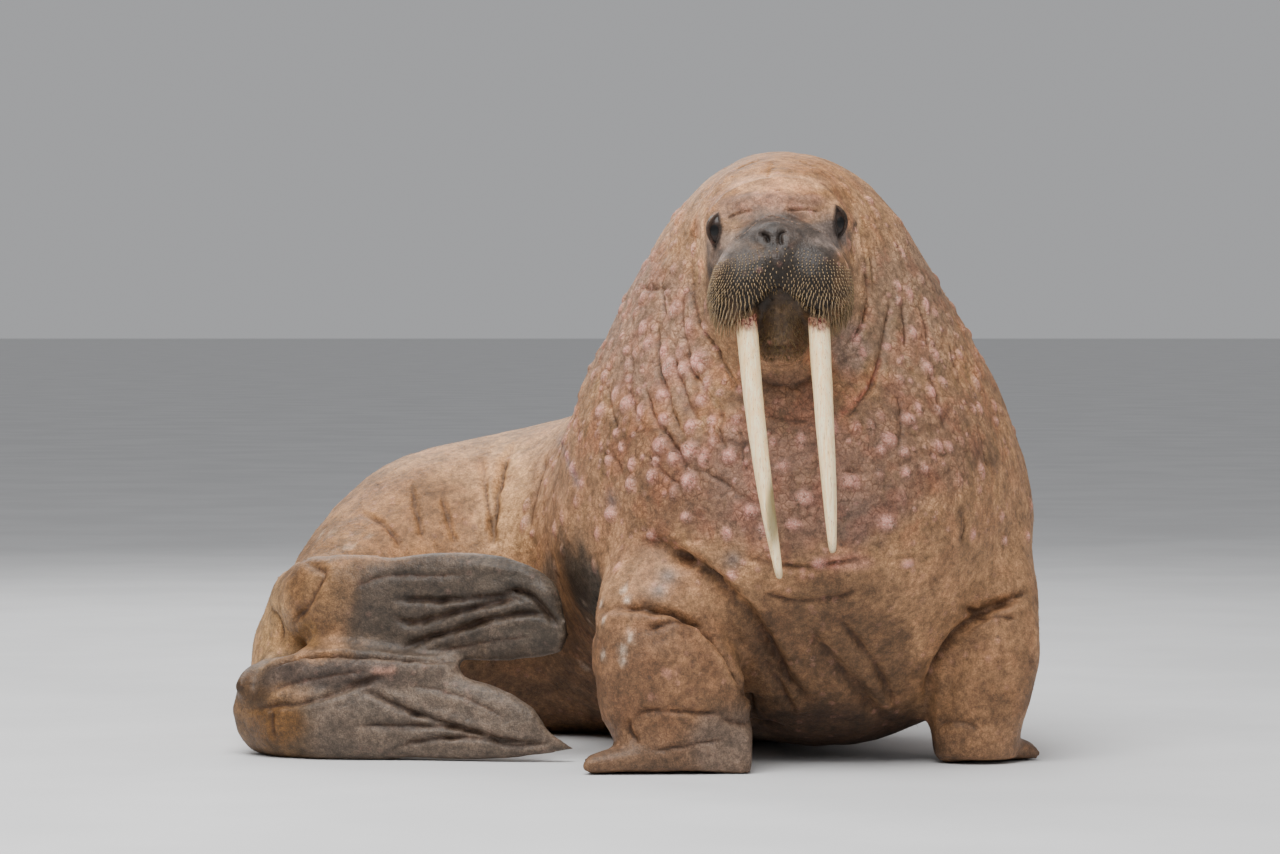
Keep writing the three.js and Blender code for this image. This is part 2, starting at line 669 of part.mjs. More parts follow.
const pieces = {
  head: [largest(head), HIDE],
  muzzle_right: [bristled(padRight, -1), GREY_HIDE],
  muzzle_left: [bristled(padLeft, 1), GREY_HIDE],
  jaw: [largest(chin), HIDE],
  eye_right: [eyeRight.ball, EYE],
  eye_left: [eyeLeft.ball, EYE],
  tusk_right: [tuskRight, IVORY],
  tusk_left: [tuskLeft, IVORY],
  neck: [neck, HIDE],
  chest: [chest, HIDE],
  back: [back, HIDE],
  loin: [loin, HIDE],
  rump: [rump, HIDE],
  hand_right: [limbs[0], GREY_HIDE],
  hand_left: [limbs[1], GREY_HIDE],
  forearm_right: [limbs[2], HIDE],
  forearm_left: [limbs[3], HIDE],
  ankle_left: [limbs[4], GREY_HIDE],
  ankle_right: [limbs[5], GREY_HIDE],
  foot_left: [limbs[6], GREY_HIDE],
  foot_right: [limbs[7], GREY_HIDE],
  tail: [limbs[8], GREY_HIDE],
};

const walrus = new THREE.Group();
for (const [name, [solid, look]] of Object.entries(pieces)) {
  const mesh = new THREE.Mesh(geometryOf(solid), new THREE.MeshStandardMaterial(look));
  mesh.name = name;
  walrus.add(mesh);
}
const extent = new THREE.Box3().setFromObject(walrus);
const middle = extent.getCenter(new THREE.Vector3());
walrus.position.set(-middle.x, -middle.y, -extent.min.z);

const part = new THREE.Group();
part.add(walrus);

export default part;
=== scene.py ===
# A bull walrus at life size, sitting up on its foreflippers with its hindquarters curled round.
# Metres, +Z up. The animal looks along -Y, and its left side is at +X.
import math

import bpy
import numpy as np
from mathutils import Matrix, Vector, noise
from mathutils.bvhtree import BVHTree
from mathutils.geometry import barycentric_transform
from mathutils.kdtree import KDTree


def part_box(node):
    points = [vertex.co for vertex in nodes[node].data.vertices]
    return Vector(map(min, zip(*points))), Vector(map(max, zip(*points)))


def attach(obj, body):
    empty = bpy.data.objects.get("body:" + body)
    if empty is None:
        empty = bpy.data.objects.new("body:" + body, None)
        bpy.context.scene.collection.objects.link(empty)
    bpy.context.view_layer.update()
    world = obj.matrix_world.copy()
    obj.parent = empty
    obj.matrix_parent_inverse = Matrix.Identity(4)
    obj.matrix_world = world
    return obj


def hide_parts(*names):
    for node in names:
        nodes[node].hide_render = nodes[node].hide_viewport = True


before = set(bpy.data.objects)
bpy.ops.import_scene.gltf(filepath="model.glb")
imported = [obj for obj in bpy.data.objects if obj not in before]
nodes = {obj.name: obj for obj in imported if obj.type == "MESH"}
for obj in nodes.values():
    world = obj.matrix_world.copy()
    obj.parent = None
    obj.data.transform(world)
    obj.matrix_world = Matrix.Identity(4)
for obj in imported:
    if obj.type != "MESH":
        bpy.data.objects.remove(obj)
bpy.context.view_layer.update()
bpy.ops.object.select_all(action="DESELECT")

# Camera. It stands level with the head, nine metres off, with a long lens, and looks slightly down.
# The folds of the hide are placed by where it sees them.
PICTURE = (1280, 854)
FOCAL = 4700  # pixels
AWAY = 9.0
DIP = math.radians(1.33)
FROM_TUSK = (0.0872, 0.1219)  # to the middle of the face, from the low corner of the right tusk's box
tusk_low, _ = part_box("tusk_right")
MIDDLE = Vector((tusk_low.x + FROM_TUSK[0], tusk_low.y + FROM_TUSK[1], 0.0))  # on the floor below the face
EYE_POINT = MIDDLE + Vector((-0.26, -AWAY, 0.88))

bpy.ops.object.camera_add(location=EYE_POINT, rotation=(math.pi / 2 - DIP, 0, 0))
camera = bpy.context.object
camera.data.sensor_width = 36
camera.data.lens = FOCAL / PICTURE[0] * camera.data.sensor_width
camera.data.clip_end = 200
bpy.context.scene.camera = camera


def sight(px, py):
    """The direction from the camera through a point of the picture."""
    across = (px - PICTURE[0] / 2) / FOCAL
    up = (PICTURE[1] / 2 - py) / FOCAL
    return (Matrix.Rotation(-DIP, 3, "X") @ Vector((across, 1, up))).normalized()


# The hide: one skin over head, trunk and flippers, of thick, tough leather with short hair over blubber.
# It is taken off the solids' own shapes, melted into one closed mesh, smoothed where blubber hides the
# bones, and made finer towards the face, the chest and the flippers, where it folds most.
FLESH = [
    "head", "muzzle_right", "muzzle_left", "jaw", "neck", "chest", "back", "loin", "rump",
    "forearm_right", "forearm_left", "hand_right", "hand_left",
    "ankle_right", "ankle_left", "foot_right", "foot_left", "tail",
]
GRAIN = 0.009  # edge of the first mesh
SWELL = 0.0012  # closes the gaps between the solids
WELD = 0.0001  # vertices nearer to each other than this become one
PAD_AT = {"muzzle_right": (-0.064, -0.036, 0.948), "muzzle_left": (0.068, -0.036, 0.940)}
PAD_HALF = (0.070, 0.074, 0.088)
PAD_ROUND = 1.1  # bristles of the solids are pressed flat to this many times the pad's own size
TUSK_PLUG = 0.872  # the tusks fill their holes in the muzzle from this height up
PLUGS = [  # middle and half size. They fill nostrils, lips and the slit between the hind flippers
    ((-0.004, -0.053, 1.022), (0.048, 0.035, 0.044)),
    ((0.001, -0.058, 0.982), (0.050, 0.052, 0.046)),
    ((0.010, -0.020, 0.896), (0.050, 0.052, 0.046)),
    ((-0.80, 0.43, 0.208), (0.15, 0.08, 0.030)),
]


def select_only(*objects):
    bpy.ops.object.select_all(action="DESELECT")
    for o in objects:
        o.select_set(True)
    bpy.context.view_layer.objects.active = objects[0]


def copy_of(node, name):
    made = nodes[node].copy()
    made.data = nodes[node].data.copy()
    made.name = name
    made.parent = None
    bpy.context.scene.collection.objects.link(made)
    return made


def places(o):
    """The vertices of a mesh, from the floor below the face."""
    flat = np.empty(len(o.data.vertices) * 3)
    o.data.vertices.foreach_get("co", flat)
    return flat.reshape(-1, 3) - np.array(MIDDLE)


def put(o, points):
    o.data.vertices.foreach_set("co", (points + np.array(MIDDLE)).astype(np.float32).ravel())
    o.data.update()


def outward(o):
    flat = np.empty(len(o.data.vertices) * 3)
    o.data.vertex_normals.foreach_get("vector", flat)
    return flat.reshape(-1, 3)


def apply_modifiers(o):
    select_only(o)
    for m in list(o.modifiers):
        bpy.ops.object.modifier_apply(modifier=m.name)


parts = []
for name in FLESH + ["eye_right", "eye_left", "tusk_right", "tusk_left"]:
    part = copy_of(name, "hide_" + name)
    select_only(part)
    if name in PAD_AT:
        out = (places(part) - PAD_AT[name]) / PAD_HALF
        reach = np.linalg.norm(out, axis=1, keepdims=True)
        out *= np.where(reach > PAD_ROUND, PAD_ROUND / reach, 1)
        put(part, out * PAD_HALF + PAD_AT[name])
    bpy.ops.object.mode_set(mode="EDIT")
    bpy.ops.mesh.select_all(action="SELECT")
    bpy.ops.mesh.remove_doubles(threshold=WELD)
    if name.startswith("tusk"):
        bpy.ops.mesh.bisect(
            plane_co=(0, 0, TUSK_PLUG), plane_no=(0, 0, 1), clear_inner=True, use_fill=True
        )
        bpy.ops.mesh.select_all(action="SELECT")
    bpy.ops.transform.shrink_fatten(value=SWELL)
    bpy.ops.object.mode_set(mode="OBJECT")
    parts.append(part)
for middle, half in PLUGS:
    bpy.ops.mesh.primitive_uv_sphere_add(
        segments=32, ring_count=16, radius=1, location=MIDDLE + Vector(middle), scale=half
    )
    parts.append(bpy.context.object)
select_only(*parts)
bpy.ops.object.join()
hide = bpy.context.object
hide.name = "hide"
hide.data.materials.clear()
melt = hide.modifiers.new("melt", "REMESH")
melt.mode = "VOXEL"
melt.voxel_size = GRAIN
apply_modifiers(hide)


def pick(o, chosen):
    """Selects the chosen vertices, and the edges and faces that lie wholly among them."""
    mesh = o.data
    mesh.vertices.foreach_set("select", chosen)
    count = np.empty(len(mesh.polygons), int)
    mesh.polygons.foreach_get("loop_total", count)
    corners = np.empty(len(mesh.loops), int)
    mesh.loops.foreach_get("vertex_index", corners)
    starts = np.concatenate([[0], np.cumsum(count)[:-1]])
    mesh.polygons.foreach_set("select", np.logical_and.reduceat(chosen[corners], starts))
    ends = np.empty(len(mesh.edges) * 2, int)
    mesh.edges.foreach_get("vertices", ends)
    mesh.edges.foreach_set("select", chosen[ends.reshape(-1, 2)].all(1))


def soften(o, chosen, times):
    select_only(o)
    pick(o, chosen)
    bpy.ops.object.mode_set(mode="EDIT")
    bpy.ops.mesh.vertices_smooth(factor=0.5, repeat=times)
    bpy.ops.object.mode_set(mode="OBJECT")


def refine(o, chosen):
    select_only(o)
    pick(o, chosen)
    bpy.ops.object.mode_set(mode="EDIT")
    bpy.ops.mesh.select_mode(type="FACE")
    bpy.ops.mesh.subdivide(number_cuts=1)
    bpy.ops.mesh.select_mode(type="VERT")
    bpy.ops.object.mode_set(mode="OBJECT")


def coarsen(o, chosen, share):
    select_only(o)
    pick(o, chosen)
    bpy.ops.object.mode_set(mode="EDIT")
    bpy.ops.mesh.decimate(ratio=share)
    bpy.ops.object.mode_set(mode="OBJECT")


def within(p, low, high):
    """Which points lie in a box."""
    return ((p > low) & (p < high)).all(1)


FACE_BOX = ((-0.19, -0.2, 0.78), (0.2, 0.09, 1.21))
FLIPPER_BOXES = (  # both hind ones, the right fore one and the left fore one
    ((-1.2, 0.1, -0.1), (-0.36, 0.50, 0.43)),
    ((-0.4, -0.1, -0.1), (-0.03, 0.28, 0.1)),
    ((0.32, 0.19, -0.1), (0.6, 0.52, 0.09)),
)
WRIST_BOXES = (
    ((-0.4, -0.1, 0.1), (-0.03, 0.28, 0.26)),
    ((0.32, 0.19, 0.09), (0.6, 0.52, 0.24)),
)
BODY_TIMES, WRIST_TIMES, FLIPPER_TIMES, FACE_TIMES = 50, 14, 8, 6  # smoothings, each after the one before


def face_of(p):
    return within(p, *FACE_BOX)


def flippers_of(p):
    return np.any([within(p, *box) for box in FLIPPER_BOXES], 0)


def limbs_of(p):
    return flippers_of(p) | np.any([within(p, *box) for box in WRIST_BOXES], 0)


at = places(hide)
soften(hide, ~(face_of(at) | limbs_of(at)), BODY_TIMES)
at = places(hide)
soften(hide, ~(face_of(at) | flippers_of(at)), WRIST_TIMES)
soften(hide, ~face_of(places(hide)), FLIPPER_TIMES)
soften(hide, face_of(places(hide)), FACE_TIMES)

# Folds. Each is a path in the picture, walked from its first point, with how deep and how wide its furrow
# is and how high the skin rolls up on the left and on the right of it, in millimetres.
FACE_FOLDS = {
    "hood": (-7, 9, 0, 0, [
        (707, 322), (703, 300), (702, 270), (703, 240), (705, 221), (716, 206), (736, 189), (759, 181),
        (785, 179), (809, 184), (829, 194), (843, 211), (850, 232), (854, 262), (857, 292), (852, 315),
    ]),
    "hood_below_right": (-6, 8, 0, 0, [(704, 304), (710, 322), (720, 336), (735, 347)]),
    "hood_below_left": (-6, 8, 0, 0, [(856, 292), (851, 314), (840, 332), (826, 345)]),
    "hood_edge_left": (15, 5.5, 0, 3, [
        (857, 214), (863, 236), (867, 270), (869, 300), (864, 328), (838, 354),
    ]),
    "hood_edge_right": (15, 5.5, 3, 0, [
        (697, 214), (691, 236), (689, 262), (691, 296), (698, 324), (712, 347), (734, 362),
    ]),
    "eye_side_right": (3, 5, 0, 0, [(688, 234), (695, 238), (702, 238)]),
    "brow": (-6, 12, 0, 0, [(722, 207), (745, 199), (775, 196), (806, 198), (832, 208)]),
    "brow_crease_right": (4.5, 3, 1, 0, [(725, 220), (736, 214), (744, 212), (755, 210.5)]),
    "brow_crease_left": (4.5, 3, 1, 0, [(781, 210.5), (795, 210), (810, 209.5), (824, 213)]),
    "crown_crease": (4, 3.6, 1, 1, [(773, 160), (770, 169), (767, 179)]),
    "crown_arc_right": (3, 4.5, 1.5, 0, [(733, 171), (742, 167), (751, 163.5), (762, 158)]),
    "crown_arc_left": (3, 4.5, 1.5, 0, [(797, 160), (806, 162), (818, 168)]),
    "crown_mark": (2.5, 3.2, 0, 0, [(774, 190.5), (785, 189.5)]),
    "crown_side_right": (-7, 22, 0, 0, [(713, 198), (722, 182), (737, 168)]),
    "crown_side_left": (-7, 22, 0, 0, [(812, 166), (828, 180), (838, 196)]),
    "nose_fold": (5.5, 3.2, 0, 2.5, [
        (722, 246), (734, 239), (745, 232), (754, 223), (762, 217.5), (771, 215.5),
        (782, 216.5), (794, 222), (806, 226), (818, 229.5), (829, 235), (838, 244),
    ]),
    "nose_fold_upper": (2, 2.6, 0, 1, [(786, 214), (797, 217.5), (808, 222), (820, 224)]),
    "cheek_fold_right": (2, 2.6, 0, 0, [(724, 232), (733, 228.5), (744, 226)]),
    "bridge_fold": (1.6, 2.4, 0, 0, [(758, 226), (765, 221.5), (776, 220), (788, 223.5)]),
    "nostril_right": (13, 3.4, 0, 1, [(757.5, 232.5), (763, 233), (767, 236), (768.5, 243.5)]),
    "nostril_left": (13, 3.4, 1, 0, [(788, 230.5), (782.5, 231.5), (779.5, 235.5), (782, 245.5)]),
    "nostril_wing_right": (-3, 6, 0, 0, [(757, 238), (761, 243), (767, 249)]),
    "nostril_wing_left": (-3, 6, 0, 0, [(790, 236), (788, 243), (784, 250)]),
    "philtrum_fill": (-7, 17, 0, 0, [(775, 250), (776, 268), (777, 284)]),
    "philtrum_right": (1.8, 1.8, 0, 0, [(772.3, 234), (773.2, 246), (774.6, 262)]),
    "philtrum_left": (1.8, 1.8, 0, 0, [(777.3, 234), (777.6, 246), (777.2, 262)]),
    "mouth": (11, 4.5, 3, 0, [
        (737, 321), (743, 314), (751, 309), (756.5, 300), (765, 292.5), (775.5, 288.5),
        (785, 290.5), (794, 297), (803, 305), (811, 310.5), (821, 313), (832, 318),
    ]),
    "chin_roll": (5, 4.5, 2, 0, [(757, 357), (768, 363), (782, 366), (795, 364), (808, 359)]),
    "chin_crease": (3.5, 4, 1, 1, [(759, 345), (772, 348), (786, 348), (802, 344)]),
    "chin_middle": (2.5, 3.5, 0, 0, [(783, 300), (781, 320), (784, 338)]),
}
NECK_FOLDS = {
    "neck_right_1": (10.5, 6, 3, 1, [
        (702, 330), (709, 343), (716.5, 353.5), (727, 370), (737, 388), (741, 402),
    ]),
    "neck_right_2": (12, 6, 2, 2, [
        (657, 318), (657, 347), (658, 374), (668, 394), (672, 415), (680, 431), (684, 446),
    ]),
    "neck_right_3": (9, 5, 2, 2, [
        (668, 349), (674, 362), (678, 378), (686, 394), (688, 406), (700, 421),
    ]),
    "neck_right_4": (10.5, 6, 2, 2, [
        (639, 376), (647, 394), (653, 419), (668, 435), (680, 458), (690, 474),
    ]),
    "neck_right_5": (9, 5, 2, 2, [
        (680, 288), (682, 321), (686, 347), (690, 370), (704, 386), (712, 404),
    ]),
    "neck_right_6": (6, 6, 1, 1, [(634, 284), (650, 289), (670, 289)]),
    "neck_right_7": (7.5, 5, 1, 1, [(607, 386), (609, 400), (613, 420), (622, 438)]),
    "neck_right_8": (7.5, 4, 1, 1, [(690, 281), (692, 305), (700, 329)]),
    "neck_right_9": (9, 5, 1, 1, [(698, 468), (714, 477), (729, 486), (745, 498), (757, 503)]),
    "neck_middle": (7.5, 5, 2, 1, [(764, 413), (778, 418), (796, 421), (812, 420)]),
    "neck_right_10": (7.5, 5, 1, 1, [(668, 262), (660, 282), (664, 305), (660, 330)]),
    "neck_right_11": (7.5, 5, 1, 1, [(628, 340), (632, 362), (628, 384), (634, 410), (646, 432)]),
    "neck_right_12": (9, 5, 2, 1, [(716, 398), (722, 416), (718, 436), (728, 452)]),
    "neck_right_13": (6, 4, 1, 1, [(640, 452), (656, 462), (668, 478), (684, 486)]),
    "neck_right_14": (6, 4, 1, 1, [(604, 452), (618, 462), (624, 480)]),
    "neck_right_15": (6, 5, 1, 1, [(736, 420), (744, 440), (742, 462), (752, 478)]),
    "throat": (7.5, 7, 1, 2, [(744, 368), (764, 384), (790, 388), (812, 378), (838, 366)]),
    "neck_left_1": (10.5, 6, 2, 2, [
        (889, 288), (890, 306), (888, 323), (882, 349), (874, 382), (862, 404),
    ]),
    "neck_left_2": (7.5, 5, 1, 1, [(882, 356), (870, 390), (856, 408), (842, 421)]),
    "neck_left_3": (6, 4, 1, 1, [(868, 250), (874, 276), (872, 300)]),
    "neck_left_4": (6, 5, 1, 1, [(902, 300), (908, 330), (904, 352)]),
    "neck_left_5": (6, 5, 1, 1, [(918, 300), (926, 326), (930, 352)]),
    "neck_left_6": (6, 5, 1, 1, [(930, 370), (940, 400), (944, 432)]),
    "neck_left_7": (6, 5, 1, 1, [(896, 392), (904, 418), (900, 446)]),
    "neck_left_8": (6, 4, 1, 1, [(843, 470), (854, 472), (866, 470)]),
    "neck_left_9": (7.5, 5, 1, 1, [(962, 512), (966, 528), (960, 544)]),
    "neck_left_10": (6, 5, 1, 1, [(950, 340), (956, 366), (966, 392)]),
    "neck_left_11": (6, 5, 1, 1, [(976, 420), (984, 448), (990, 474)]),
}
CHEST_FOLDS = {
    "chest_band": (11, 8, 3, 2, [(736, 553), (760, 562), (790, 568), (830, 566), (872, 556)]),
    "chest_band_low": (8, 7, 1, 2, [(752, 590), (790, 602), (832, 600), (868, 588)]),
    "fold_a": (35, 15, 12, 0, [
        (628, 537), (645, 541), (661, 546), (682, 558), (711, 577), (733, 597), (755, 625),
        (768, 647), (777, 664), (785, 681), (798, 694), (816, 712),
    ]),
    "fold_b": (24, 13, 6, 2, [
        (800, 622), (812, 638), (822, 650), (837, 666), (857, 688), (874, 710), (894, 733), (900, 745),
    ]),
    "fold_c": (13, 8, 3, 0, [(758, 652), (766, 666), (776, 684), (786, 698), (796, 716)]),
    "fold_d": (11, 9, 2, 2, [(830, 612), (852, 634), (872, 660), (890, 690), (902, 716)]),
    "arm_right_top": (25.5, 11, 0, 9, [
        (592, 616), (610, 608), (634, 606), (653, 607), (673, 611), (690, 617), (703, 626), (716, 639),
        (729, 659), (740, 680), (749, 703), (755, 725), (759, 746), (757, 762),
    ]),
    "arm_right_second": (9.5, 6, 1, 2, [(645, 631), (658, 626), (675, 622), (692, 622)]),
    "arm_right_wrist": (9.5, 6, 2, 2, [
        (630, 722), (642, 712), (658, 711), (677, 711), (700, 713), (731, 715),
    ]),
    "arm_right_hand": (6.5, 5, 2, 1, [
        (643, 747), (655, 749), (668, 750), (690, 745), (712, 741), (731, 739),
    ]),
    "arm_right_notch": (8, 6, 0, 2, [(630, 718), (628, 732), (638, 744)]),
    "arm_left_top": (25.5, 11, 8, 0, [
        (1034, 595), (1015, 599), (998, 606), (975, 618), (955, 636), (940, 657), (930, 682), (925, 710),
        (924, 735), (929, 760),
    ]),
    "arm_left_second": (8, 6, 1, 1, [(972, 622), (985, 618), (1000, 616), (1020, 618)]),
    "arm_left_wrist": (8, 6, 1, 1, [(936, 726), (950, 722), (968, 724), (980, 730)]),
    "armpit_left": (19, 9, 0, 5, [(960, 604), (978, 614), (990, 606), (1004, 599), (1034, 592)]),
    "belly_crease": (9.5, 7, 1, 1, [(716, 716), (738, 724), (764, 722), (790, 728)]),
}
FLANK_FOLDS = {
    "shoulder_edge": (13.5, 10, 0, 5, [
        (520, 436), (509, 452), (500, 478), (495, 506), (493, 530), (494, 552),
    ]),
    "inner_ridge": (8, 9, 0, 3, [(547, 450), (540, 480), (531, 508), (527, 535)]),
    "flank_1": (8, 7, 2, 2, [(441, 494), (445, 510), (451, 529), (458, 545)]),
    "flank_2": (8, 7, 2, 2, [(480, 450), (484, 476), (487, 506), (492, 532), (495, 550)]),
    "flank_3": (7, 7, 2, 2, [(410, 480), (414, 502), (420, 524), (426, 546)]),
    "hip": (9.5, 8, 2, 2, [(361, 511), (372, 516), (381, 522), (395, 536), (405, 553)]),
    "rump_1": (8, 8, 2, 2, [(300, 560), (314, 566), (326, 572), (318, 588), (308, 606), (288, 629)]),
    "rump_2": (7, 7, 1, 1, [(262, 600), (274, 612), (284, 628), (280, 646)]),
}
HIND_FOLDS = {
    "upper_rim": (22, 7, 7, 0, [
        (500, 592), (516, 590), (528, 593), (537, 600), (545, 611), (552, 619), (560, 629),
    ]),
    "upper_rim_roll": (-11, 14, 0, 0, [
        (440, 568), (490, 567), (524, 573), (543, 586), (555, 604), (561, 618),
    ]),
    "upper_pleat_1": (14, 6, 4, 2, [
        (388, 600), (406, 600), (420, 600), (443, 600), (468, 599), (501, 596), (528, 593),
    ]),
    "upper_pleat_2": (15, 7, 4, 2, [
        (386, 612), (401, 623), (416, 623), (434, 619), (450, 614), (468, 609), (501, 601), (531, 597),
    ]),
    "upper_pleat_3": (19, 7, 3, 7, [
        (398, 652), (407, 646), (434, 637), (464, 628), (493, 619), (522, 613), (547, 615), (558, 622),
    ]),
    "upper_pleat_4": (5, 5, 2, 1, [(346, 592), (368, 580), (396, 574), (430, 576), (470, 574)]),
    "upper_lobe_mid": (4, 5, 1, 1, [(430, 652), (462, 648), (500, 640), (536, 636)]),
    "middle_top": (20, 6, 4, 4, [
        (256, 680), (270, 668), (290, 659), (320, 654), (360, 655), (400, 658), (462, 661),
    ]),
    "middle_low": (12, 7, 2, 3, [
        (238, 712), (256, 708), (271, 705), (298, 704), (328, 696), (354, 686), (372, 680), (398, 673),
    ]),
    "middle_pleat": (4, 5, 1, 1, [(262, 692), (290, 684), (330, 676), (372, 670)]),
    "heel": (7, 6, 3, 3, [(274, 708), (271, 722), (274, 742)]),
    "lower_pleat_1": (17, 6, 6, 2, [
        (352, 690), (376, 694), (401, 708), (434, 720), (468, 730), (493, 738), (518, 743), (548, 741),
    ]),
    "lower_pleat_2": (9, 6, 3, 2, [
        (347, 727), (367, 726), (397, 726), (432, 726), (466, 729), (498, 739),
    ]),
    "lower_pleat_3": (12, 6, 2, 4, [
        (384, 753), (413, 743), (432, 739), (451, 737), (485, 739), (510, 747), (535, 746), (566, 741),
    ]),
    "lower_wrinkle": (3, 5, 1, 1, [(404, 684), (440, 690), (478, 702), (510, 722)]),
}
FOLD_SETS = (FACE_FOLDS, NECK_FOLDS, CHEST_FOLDS, FLANK_FOLDS, HIND_FOLDS)
FOLD_STEP = 0.003  # between the points where a path is laid on the skin
FOLD_REACH = 3.2  # of its width, on each side
FOLD_END = 0.22  # of its length, over which it comes up from nothing at each end
FOLD_SHARE = (0.9, 0.45, 0.03)  # of its depth on the whole, how much that varies, and in lumps of what size
VALLEY_POWER = 1.35  # of its cross section, from a sharp crease at 1 to a round one at 2
SHOULDER_AT, SHOULDER_WIDTH = 1.9, 0.9  # of its width: where the skin rolls up, and how broadly
DIRT_AND_SHADE_WIDTH = 0.6  # of its width, where it is painted dark with dirt and shade
FACE_SWAY, BODY_SWAY, SCAR_SWAY = 0.35, 1.5, 0.4  # picture points by which a path wavers
SWAY_LENGTH = 13  # picture points over which it does so
MM = 0.001

# Knobs: bulls carry hard, hairless lumps on neck and chest. The big ones stand where the picture has them,
# as across, up and radius in picture points and how much taller than wide; smaller ones are strewn.
KNOBS = [
    (699, 362, 11, 1.0), (668, 367, 7, 1.4), (682, 369, 7, 1.0), (648, 344, 6, 1.1), (673, 309, 6, 1.3),
    (643, 297, 5, 1.1), (643, 328, 5, 1.5), (662, 395, 7, 0.9), (626, 404, 8, 1.0), (615, 394, 5, 1.6),
    (600, 411, 8, 0.9), (604, 376, 5, 1.3), (594, 374, 5, 1.2), (621, 447, 5, 1.0), (608, 460, 5, 1.1),
    (631, 464, 5, 1.2), (660, 445, 9, 0.9), (655, 461, 5, 1.0), (673, 458, 6, 1.1), (689, 451, 9, 1.0),
    (703, 458, 6, 1.4), (729, 456, 8, 0.9), (651, 476, 6.5, 1.0), (630, 484, 7, 1.0), (688, 481, 8, 1.1),
    (610, 514, 9, 0.8), (686, 517, 6, 0.8), (651, 536, 6, 0.7), (736, 419, 5, 0.9), (701, 400, 6, 1.0),
    (711, 421, 5, 1.3), (690, 426, 7, 1.0), (664, 420, 8, 0.8), (751, 511, 7, 0.9), (804, 498, 9, 0.8),
    (794, 525, 7, 0.7), (733, 574, 5, 0.8), (819, 564, 7, 0.8), (898, 286, 4.5, 1.4), (899, 300, 4.5, 1.2),
    (926, 304, 5, 1.5), (913, 332, 5, 1.3), (928, 368, 7, 1.1), (959, 354, 5, 1.0), (931, 391, 5, 1.5),
    (944, 382, 5, 1.3), (939, 410, 5, 1.1), (979, 408, 5, 1.3), (909, 419, 8, 0.8), (889, 440, 8, 0.9),
    (904, 452, 5, 1.0), (881, 449, 5, 0.9), (938, 446, 6, 1.0), (949, 447, 5, 1.2), (906, 473, 5, 1.0),
    (925, 469, 5, 0.9), (982, 471, 5, 1.6), (997, 421, 6, 0.8), (887, 523, 9, 0.8), (850, 482, 9, 0.8),
    (908, 564, 7, 0.7), (973, 534, 4.5, 1.2), (1005, 540, 5, 0.8), (1027, 536, 5, 0.9),
]
KNOB_RISE = 0.50  # of its radius
KNOB_REACH = 2.2  # radii, as far as its form goes
KNOB_DIP = (1.45, 0.3, 0.35)  # the dip round it: where and how broad in radii, and its share of the rise
STREWN_KNOBS = 170
STREWN_RADIUS = (0.0075, 0.0105)
STREWN_TALL = (0.8, 1.7)
STREWN_GAP = 0.010  # at least, from the next one
STREWN_BOX = ((-0.5, -0.2, 0.35), (0.62, 0.75, 1.14))
STREWN_HEIGHT = (0.80, 0.25)  # where they stand closest, and over what height they thin out
STREWN_PINK = (0.2, 1)  # share of the pink of a big one
KNOB_SEED = 7


def smooth(x, low, high):
    t = np.clip((x - low) / (high - low), 0, 1)
    return t * t * (3 - 2 * t)


def bell(x):
    return np.exp(-(x ** 2))


def drift(p, size, seed, octaves=2):
    """Smooth noise about zero, in lumps of a size."""
    start = Vector((seed * 17.3, seed * 5.1, -seed * 9.7))
    return np.array([noise.fractal(Vector(q) / size + start, 0.9, 2.1, octaves) for q in p])


def rounded(path):
    """A smooth line through the middle of a path, by cutting its corners three times."""
    line = np.array(path, float)
    for _ in range(3):
        cut = np.stack([0.75 * line[:-1] + 0.25 * line[1:], 0.25 * line[:-1] + 0.75 * line[1:]], 1)
        line = np.vstack([line[:1], cut.reshape(-1, 2), line[-1:]])
    return line


def laid(path, skin, sway):
    """The points of a picture path on the skin, with the skin's outward directions there."""
    line = rounded(path)
    run = np.concatenate([[0], np.cumsum(np.linalg.norm(np.diff(line, axis=0), axis=1))])
    steps = np.linspace(0, run[-1], max(int(run[-1] * AWAY / FOCAL / FOLD_STEP), 4))
    spots, outs = [], []
    for px, py in zip(np.interp(steps, run, line[:, 0]), np.interp(steps, run, line[:, 1])):
        waver = noise.noise_vector(Vector((px, py, 0)) / SWAY_LENGTH) * sway
        spot, out, _, _ = skin.ray_cast(EYE_POINT, sight(px + waver.x, py + waver.y))
        if spot:
            spots.append(spot - MIDDLE)
            outs.append(out)
    return np.array(spots), np.array(outs)


def skin_of(o):
    return BVHTree.FromObject(o, bpy.context.evaluated_depsgraph_get())


skin = skin_of(hide)
folds = {}
for fold_set in FOLD_SETS:
    sway = FACE_SWAY if fold_set is FACE_FOLDS else BODY_SWAY
    for name, (depth, width, left, right, path) in fold_set.items():
        folds[name] = (depth * MM, width * MM, left * MM, right * MM, *laid(path, skin, sway))

knobs = []  # place, outward direction, radius, how much taller than wide
for px, py, radius, tall in KNOBS:
    spot, out, _, _ = skin.ray_cast(EYE_POINT, sight(px, py))
    if spot:
        knobs.append((np.array(spot - MIDDLE), np.array(out), radius * AWAY / FOCAL, tall))
rng = np.random.default_rng(KNOB_SEED)
at = places(hide)
lie = outward(hide)
